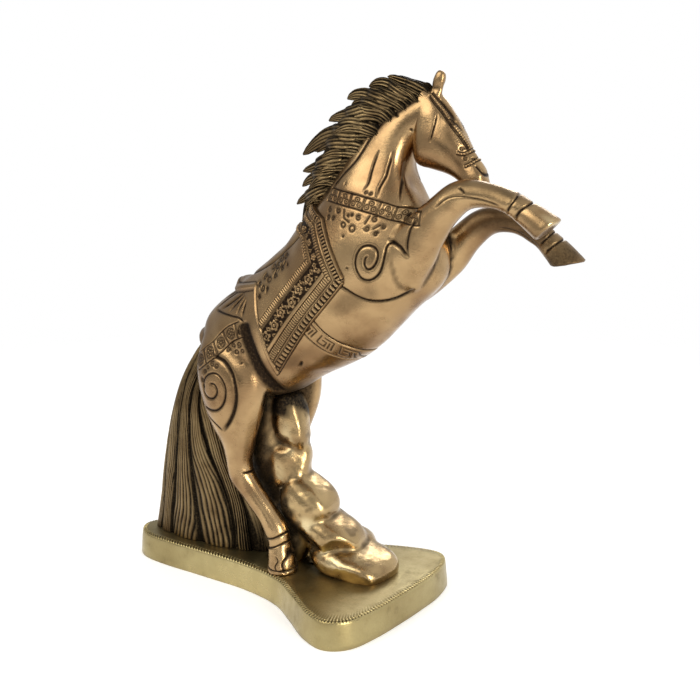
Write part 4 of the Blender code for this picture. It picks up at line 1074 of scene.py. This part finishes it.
edge = cloth_relief(body_points)[2]
keep = (edge[body_faces] > -CLOTH_MARGIN).all(1) & (body_points[body_faces[:, 0], 2] > CLOTH_LOWEST)
used, renumbered = np.unique(body_faces[keep], return_inverse=True)
points, triangles, normals, _ = refined(body_points[used], renumbered.reshape(-1, 3), cloth_size)
height, dark, edge, _ = cloth_relief(points)
rise = CLOTH_RISE * step(edge, -0.9, 0.5) + step(edge, -0.3, 0.6) * height - CLOTH_DIP * step(-edge, 0.6, 1.6)
outer = points + normals * rise[:, None] + CANTLE_LEAN * (cantle(points) * step(edge, -0.5, 2))[:, None]
part = closed(outer, triangles, normals, np.maximum(dark, 0.9 * groove(edge + 0.7, 0.6)))
show("saddle_cloth_shown", part[0], part[1], POLISHED, "saddle_cloth", part[3])

# Tail

TAIL_SEED, MANE_SEED, ROCK_SEED = 17, 21, 9
LOCK_STRANDS = 7
LOCK_COLUMNS = 35
centre, depth, width = edge_rings(TAIL, 28)
rows, locks = len(centre), len(TAIL_CUTS)
drop = np.linspace(0, 1, rows)
swing = np.minimum(1, drop / 0.3)
bounds = np.stack([place + swing * sway * np.sin(2 * math.pi * (waves * drop + phase))
                   for place, sway, waves, phase in TAIL_CUTS], 1)
bounds = np.hstack((bounds, bounds[:, :1] + 1))
part = np.arange(LOCK_COLUMNS) / LOCK_COLUMNS
turn = (bounds[:, :-1, None] + (bounds[:, 1:] - bounds[:, :-1])[:, :, None] * part).reshape(rows, -1)
down = np.broadcast_to(drop[:, None], turn.shape)
share = np.broadcast_to(np.tile(part, locks), turn.shape)
lock = np.broadcast_to(np.repeat(np.arange(locks), LOCK_COLUMNS), turn.shape)
source = np.random.default_rng(TAIL_SEED)
starts = source.uniform(0, 6.28, (locks, 3))[lock]
wobble = (0.85 * np.sin(2 * math.pi * 1.4 * down + starts[..., 0])
          + 0.28 * np.sin(2 * math.pi * 3.3 * down + starts[..., 1])
          + 0.05 * np.sin(2 * math.pi * 9.0 * down + starts[..., 2] + 5 * share))
spans = np.hstack((np.zeros((locks, 1)), np.cumsum(source.uniform(0.72, 1.3, (locks, LOCK_STRANDS)), 1)))
spans /= spans[:, -1:]
strand = np.zeros(turn.shape)
for index in range(locks):
    strand[lock == index] = np.interp(share[lock == index], spans[index], range(LOCK_STRANDS + 1))
strand += wobble * np.minimum(1, np.minimum(share, 1 - share) * 8)
fold = np.abs(2 * (strand % 1) - 1)
between = np.interp(share, (0, 0.14, 0.5, 0.86, 1), (1.0, 0.35, 0.0, 0.35, 1.0))
plain = step(turn % 1, 0.500, 0.52) * (1 - step(turn % 1, 0.575, 0.60)) * step(down, 0.38, 0.5)
deep = 0.62 + 0.3 * ripple(np.stack((turn.ravel() * 9, down.ravel() * 3), 1), 2.2, 31).reshape(turn.shape)
sink = np.minimum(1, 0.45 + 2.5 * down) * (1.8 * between + (1.25 * deep * (1 - 0.85 * plain)) * fold ** 1.7)
length = np.linalg.norm(depth, axis=1)[:, None]
grid = centre[:, None] + unit(depth)[:, None] * ((length - sink + 0.25) * np.cos(2 * math.pi * turn))[:, :, None]
grid[:, :, 1] += (width[:, None] - sink + 0.25) * np.sin(2 * math.pi * turn)
grid[:, :, 2] = np.maximum(grid[:, :, 2], DECK - 0.1)
tangle = step(down, 0.8, 0.97) * step(turn % 1, 0.46, 0.52) * (1 - step(turn % 1, 0.6, 0.66))
shade = np.clip(1.6 * (deep + 0.25) * fold ** 1.8 * (1 - 0.75 * plain) + 1.3 * between ** 1.6 * (1 - 0.3 * plain)
                + 0.8 * tangle, 0, 1) * np.minimum(1, 0.4 + 2 * down)
points, triangles = capped(grid)
show("tail_shown", points, triangles, ANTIQUE, "tail", np.append(shade.ravel(), (1, 1)))

# Mane

# Places along a lock with the shares of its width and of its thickness
LOCK_SHARES = ((0.0, 0.55, 1.0), (0.12, 0.85, 1.0), (0.3, 1.0, 1.0), (0.5, 1.0, 0.95), (0.7, 0.88, 0.85),
               (0.86, 0.62, 0.7), (0.95, 0.38, 0.5), (1.0, 0.1, 0.25))
# Smaller locks over each lock: place towards the next one, reach, size and lift
UPPER_LOCKS = ((0.45, 0.80, 0.62, 0.9), (0.75, 0.62, 0.5, 1.5))
CREST_SIDES, CREST_STREAKS = 120, 26


def crest_flank(x, z):
    """Half width of the mane's crest at side-view points."""
    centre, depth, width = edge_rings(MANE, steps=10)
    depth = depth[:, [0, 2]]
    up = unit(depth)
    gap = np.stack((x, z), 1)[:, None] - centre[:, [0, 2]]
    over = (gap * up).sum(2)
    away = np.abs(gap[:, :, 0] * up[:, 1] - gap[:, :, 1] * up[:, 0])
    flank = width * np.sqrt(np.clip(1 - (over / np.linalg.norm(depth, axis=1)) ** 2, 0, 1)) - 1.5 * away
    return np.clip(flank.max(1), 0, None)


def tuft(lock, side, reach, thick, seed, lift=0.0, stations=40, sides=56):
    """Flat curved lock of hair with grooves that meet at its tip: grid and darkness."""
    source = np.random.default_rng(seed)
    root_x, root_z, middle_x, middle_z, tip_x, tip_z, half, place = lock
    root = np.array((root_x, side * (place + lift), root_z + DECK))
    tip = np.array((tip_x, side * 2.5, tip_z + DECK))
    middle = np.array((middle_x, (root[1] + tip[1]) / 2 + side * lift, middle_z + DECK))
    bend = 2 * middle - (root + tip) / 2
    share = np.linspace(0, 1, stations)
    t = (share * reach)[:, None]
    line = root * (1 - t) ** 2 + bend * (2 * t * (1 - t)) + tip * t ** 2
    run = (bend - root) * (1 - t) + (tip - bend) * t
    over = unit(np.stack((-run[:, 2], np.zeros(stations), run[:, 0]), 1))
    line = line + over * (0.42 * half * np.sin(2 * math.pi * (1.05 * share + source.uniform(0, 1))) * share)[:, None]
    flank = np.convolve(np.pad(crest_flank(line[:, 0], line[:, 2]), 3, mode="edge"), np.ones(7) / 7, mode="valid")
    line[:, 1] = side * np.maximum(np.abs(line[:, 1]), 0.97 * flank + 0.3 + lift)
    shares, widths, thicks = np.array(LOCK_SHARES).T
    wide = half * np.interp(share, shares, widths)
    deep = thick * np.interp(share, shares, thicks)
    angle = np.arange(sides) * (2 * math.pi / sides)
    flat = np.cos(angle)
    sway = 0.13 * np.sin(share * 7 + source.uniform(0, 6))[:, None]
    phase = ((flat + 1 + sway) * max(3, round(half * 0.9)) / 2
             + 0.25 * np.sin(angle)[None, :] * source.uniform(-1, 1))
    fold = np.abs(2 * (phase % 1) - 1)
    faded = np.abs(np.sin(angle)) ** 0.5
    sunk = 1.05 * fold ** 1.6 * faded * np.minimum(1, deep / thick * 1.2)[:, None]
    grid = line[:, None] + over[:, None] * (wide[:, None] * flat * (1 - 0.05 * fold))[:, :, None]
    grid[:, :, 1] += (deep[:, None] - sunk) * np.sin(angle)
    # Patinated grooves, with painted shade along the edges of each lock, most on its lower side, and near its root
    # where locks overlap.
    edge = np.maximum(np.abs(flat) ** 6, step(-flat, 0.35, 0.85))
    dark = np.clip(1.5 * fold ** 1.6 * faded + 0.7 * edge + 0.7 * (1 - np.minimum(1, 4 * share))[:, None], 0, 1)
    return grid, dark


centre, depth, width = edge_rings(MANE, steps=14)
crest = ring_grid(domed((centre, depth * 0.94, width * 0.94)), CREST_SIDES)
turns = np.arange(CREST_SIDES) / CREST_SIDES * CREST_STREAKS
streak = np.abs(2 * ((turns + 3.5 * np.linspace(0, 1, len(crest))[:, None]) % 1) - 1)
spoke = crest - crest.mean(1)[:, None]
crest -= spoke / np.maximum(np.linalg.norm(spoke, axis=2), 1)[:, :, None] * (0.7 * streak ** 2)[:, :, None]
pieces = [(crest, np.clip(0.85 + 0.3 * streak ** 2, 0, 1))]
source = np.random.default_rng(MANE_SEED)
for side, reach in ((-1, 1.0), (1, 0.93)):
    for index, lock in enumerate(LOCKS):
        pieces.append(tuft(lock, side, reach, thick=2.2, seed=40 + index))
        follow = LOCKS[min(index + 1, len(LOCKS) - 1)]
        for turn, (blend, short, size, raised) in enumerate(UPPER_LOCKS):
            upper = [a + (b - a) * blend + source.uniform(-1, 1) for a, b in zip(lock[:6], follow[:6])]
            upper += [lock[6] * size, lock[7] + (follow[7] - lock[7]) * blend]
            pieces.append(tuft(upper, side, short, thick=1.6, seed=90 + 7 * index + turn, lift=raised,
                               stations=30, sides=38))
points, triangles, shades = np.empty((0, 3)), [], []
for grid, shade in pieces:
    piece_points, piece_triangles = capped(grid)
    triangles.append(piece_triangles + len(points))
    points = np.vstack((points, piece_points))
    shades.append(np.append(shade.ravel(), (1, 0.5)))
show("mane_shown", points, np.vstack(triangles), ANTIQUE, "mane", np.concatenate(shades))

# Rocks

ROCK_CELL = 0.8
# Rounded core behind the pile, as middle and half sizes
CORE_PLACE, CORE_HALF = (-43, 3, 77 + DECK), (12.5, 12, 32)
rock_shapes = []
source = np.random.default_rng(ROCK_SEED)
for place, half, tilt in ROCKS:
    points, faces = ball(power=3.0, cuts=14)
    for _ in range(4):
        facing = source.normal(size=3) * (1, 1, 0.8)
        facing /= np.linalg.norm(facing)
        cut_at = source.uniform(0.88, 1.0)
        reach = points @ facing
        points = points * np.where(reach > cut_at, cut_at / np.maximum(reach, 1e-6), 1)[:, None]
    matrix = np.array(Euler([math.radians(value) for value in tilt]).to_matrix())
    rock_shapes.append((points * half @ matrix.T + np.array(place) + (0, 0, DECK - 0.3), faces))
points, faces = ball(power=2.4, cuts=12)
rock_shapes.append((points * CORE_HALF + CORE_PLACE, faces))
points, triangles = fused(rock_shapes, ROCK_CELL)
points = filleted(points, triangles, ROCK_CELL, radius=1.4, rounds=8)
points = spread(points, edges_of(triangles), rounds=22)
points += normals_of(points, triangles) * (0.2 * ripple(points, 13, 8) + 0.05 * ripple(points, 4.2, 12))[:, None]
points[:, 2] = np.maximum(points[:, 2], DECK - 0.5)
normals = normals_of(points, triangles)
leg_gap = np.minimum(*(nearest_on(spine_rings(leg, side, True, 2)[0], points)[1]
                       for leg, side in ((HINDLEG_RIGHT, -1), (HINDLEG_LEFT, 1))))
# Patinated hollows and random tarnish blotches, with painted shade near the hind legs, on the rock tops under the belly
# and at the rear of the pile.
dark = np.maximum.reduce((
    hollows(points, triangles, normals, rounds=20, gain=2.2),
    0.9 * (1 - step(leg_gap - 8 + 2.5 * ripple(points, 9, 44), 2, 10)),
    0.95 * step(points[:, 2] + 4 * ripple(points, 10, 45), 108, 118),
    0.8 * (1 - step(points[:, 0] + 3 * ripple(points, 8, 46), -40, -30)),
    0.45 * step(ripple(points, 15, 47) + 0.4 * ripple(points, 5, 48), 0.8, 1.5)))
# Painted highlights on the lit faces of the rocks.
painted_rock_highlights = with_painted_light(points, np.zeros(len(points)),
            ((-9, 47, 6, 5, 20, -0.8), (6, 31, 9, 4, -10, -0.5), (14, 26, 12, 3, 0, -0.5), (-24, 96, 4, 12, 0, -0.4),
             (-30, 70, 5, 12, 0, -0.3)))
dark = dark + painted_rock_highlights * (1 - step(dark, 0.05, 0.4))
show("rock_shown", points, triangles, STONE, "rock_support", dark)

# Plinth

NOTCH_PITCH, NOTCH_DEPTH = 2.3, 1.2
# Darkness of the plinth's side, rising and falling along x, and of the deck, a painted dark reflection.
SIDE_TONE, DECK_PAINTED_REFLECTION = 0.12, 0.36
# Rings from the ceiling of the underside to the deck: inset, height, and share of the notches
PLINTH_RINGS = ((7.0, 13.0, 0), (4.2, 12.6, 0), (4.0, 0.0, 0), (0.6, 0.0, 0), (0.0, 0.6, 0), (0.15, 3, 0),
                (0.4, 6, 0), (0.7, 9, 0), (0.95, 12, 0), (1.15, 13.6, 0), (1.3, 15.0, 0), (1.6, 16.1, 0),
                (2.0, 16.6, 0.2), (2.4, 16.9, 0.9), (2.9, PLINTH_HEIGHT, 1), (3.5, PLINTH_HEIGHT, 1),
                (4.0, PLINTH_HEIGHT, 0.6), (4.5, PLINTH_HEIGHT, 0))
SPINE = np.array(((-128, 1), (-80, 5), (-40, 6), (-5, -2), (20, 0), (30, 25)), float)


def offset_line(line, inset):
    """Closed plan outline moved inwards."""
    run = unit(np.roll(line, -1, 0) - np.roll(line, 1, 0))
    return line + np.stack((-run[:, 1], run[:, 0]), 1) * inset


plan = np.asarray(PLINTH, float)
around = curve_rows(np.vstack((plan[-1:], plan, plan[:2])), PLAN_STEPS)[PLAN_STEPS:-PLAN_STEPS]
run = np.concatenate(([0], np.cumsum(np.linalg.norm(np.diff(around, axis=0), axis=1))))
number = 2400
at = np.arange(number) / number
outline = np.stack([np.interp(at * run[-1], run, around[:, k]) for k in range(2)], 1)
notch = step(np.abs(np.sin(math.pi * round(run[-1] / NOTCH_PITCH) * at)), 0.62, 0.88)
rings, shades = [], []
for inset, height, sunk in PLINTH_RINGS:
    line = offset_line(outline, inset)
    worn = 0.132 * ripple(np.column_stack((line, np.full(number, float(height)))), 30, 71)
    rings.append(np.column_stack((line + worn[:, None], height - NOTCH_DEPTH * sunk * notch)))
    # The notches are darkened, the side darkens and lightens slowly along x, and the deck gets a painted dark
    # reflection.
    side_darkening = SIDE_TONE * (1 - np.cos(line[:, 0] / 31 + 1.2)) * (inset < 1.5) * (height > 0)
    shades.append(np.maximum(sunk * notch, side_darkening + DECK_PAINTED_REFLECTION * (inset > 4.1) * (height > 16)))
inner = offset_line(outline, 4.5)
for share in (0.12, 0.3, 0.55, 1.0):
    line = inner + share * (nearest_on(SPINE, inner)[0] - inner)
    rings.append(np.column_stack((line, np.full(number, PLINTH_HEIGHT))))
    # The middle of the deck gets the same painted dark reflection.
    shades.append(np.full(number, DECK_PAINTED_REFLECTION))
points = np.vstack(rings)
points[:, 2] += np.where(points[:, 2] > 16.5, 0.08 * ripple(points, 26, 72), 0)
faces = grid_faces(len(rings), number).tolist() + [list(range(number))[::-1]]
show("base_plate_shown", points, faces, SATIN, "base_plate", np.concatenate(shades))

# Stage, lamps and camera

AZIMUTH, ELEVATION, DISTANCE = math.radians(30), math.radians(12), 0.5565
TARGET = Vector((0.02411, -0.012245, 0.1575))
AWAY = Vector((math.sin(AZIMUTH) * math.cos(ELEVATION), -math.cos(AZIMUTH) * math.cos(ELEVATION), math.sin(ELEVATION)))
FLOOR_RADIUS, FLOOR_GLOW = 1.6, 0.36


def placed(name, data, place, away):
    """New object of the scene that looks away from a direction."""
    item = bpy.data.objects.new(name, data)
    item.location = place
    item.rotation_euler = away.to_track_quat("Z", "Y").to_euler()
    bpy.context.scene.collection.objects.link(item)
    return item


def area_lamp(name, place, target, size, watts, colour=(1, 1, 1)):
    """Soft rectangular lamp that looks at a target."""
    data = bpy.data.lights.new(name, "AREA")
    data.shape = "RECTANGLE"
    data.size, data.size_y = size
    data.energy = watts
    data.color = colour
    placed(name, data, place, Vector(place) - Vector(target))


def seen_directly(tree):
    """1 for camera, glossy and transmission rays, and the light path node's outputs."""
    rays = node(tree, "LightPath", {})
    seen = maths(tree, "ADD", rays["Is Camera Ray"], rays["Is Glossy Ray"])
    return maths(tree, "ADD", seen, rays["Is Transmission Ray"], True), rays


area_lamp("key_lamp", (-0.35, -0.75, 0.85), (0, 0, 0.17), (0.9, 0.7), 5.5, (1.0, 0.96, 0.86))
area_lamp("side_lamp", (1.0, -0.45, 0.3), (0, 0, 0.14), (0.25, 0.6), 7.0, (1.0, 0.97, 0.86))
area_lamp("rim_lamp", (-0.2, 0.9, 0.7), (0, 0, 0.17), (0.6, 0.3), 3.0)

world = bpy.data.worlds.new("room")
bpy.context.scene.world = world
world.use_nodes = True
tree = world.node_tree
heading = node(tree, "TexCoord", {})["Generated"]
seen, rays = seen_directly(tree)


def facing_ramp(direction, low, high, most):
    """Share that grows where the world lies towards a direction."""
    toward = node(tree, "VectorMath", {0: heading, 1: direction}, operation="DOT_PRODUCT")["Value"]
    return ramp(tree, toward, low, high, 0.0, most, "SMOOTHSTEP")


# The viewer's side and the rear are a dimmer room, which the metal shows
shapes = node(tree, "TexNoise", {"Vector": heading, "Scale": 2.8, "Detail": 1.5})["Fac"]
dim = maths(tree, "MULTIPLY", facing_ramp((0.55, -0.80, -0.20), -0.1, 0.75, 1.0),
            ramp(tree, shapes, 0.42, 0.58, 0.85, 0.15))
dim = maths(tree, "MAXIMUM", dim, facing_ramp((-0.86, 0.1, 0.5), 0.05, 0.7, 0.48))
kept = maths(tree, "SUBTRACT", 1.0, maths(tree, "MULTIPLY", dim, rays["Is Glossy Ray"]))
strength = maths(tree, "MULTIPLY", ramp(tree, seen, 0.0, 1.0, 0.6, 1.0), kept)
wire(tree, tree.nodes["Background"], {"Color": (1, 1, 1, 1), "Strength": strength})

floor_mesh = bpy.data.meshes.new("floor")
ring = [(FLOOR_RADIUS * math.cos(a), FLOOR_RADIUS * math.sin(a), 0.0)
        for a in np.linspace(0, 2 * math.pi, 96, endpoint=False)]
floor_mesh.from_pydata(ring, [], [list(range(96))])
floor = placed("floor", floor_mesh, (0, 0, 0), Vector((0, 0, 1)))
paint = bpy.data.materials.new("floor_paint")
paint.use_nodes = True
tree = paint.node_tree
shader = wire(tree, tree.nodes["Principled BSDF"], {
    "Base Color": (0.86, 0.86, 0.86, 1), "Roughness": 0.9, "Specular IOR Level": 0.1, "Emission Color": (1, 1, 1, 1),
    "Emission Strength": maths(tree, "MULTIPLY", seen_directly(tree)[0], FLOOR_GLOW)})["BSDF"]
reach = node(tree, "VectorMath", {0: node(tree, "TexCoord", {})["Object"]}, operation="LENGTH")["Value"]
blend = node(tree, "MixShader", {"Fac": ramp(tree, reach, 0.3, 0.9, kind="SMOOTHSTEP"), 1: shader,
                                 2: node(tree, "BsdfTransparent", {})["BSDF"]})["Shader"]
wire(tree, tree.nodes["Material Output"], {"Surface": blend})
floor_mesh.materials.append(paint)

camera_data = bpy.data.cameras.new("camera")
camera_data.lens = 51.43
camera_data.sensor_width = 36.0
bpy.context.scene.camera = placed("camera", camera_data, TARGET + AWAY * DISTANCE, AWAY)
bpy.context.scene.view_settings.view_transform = "Standard"
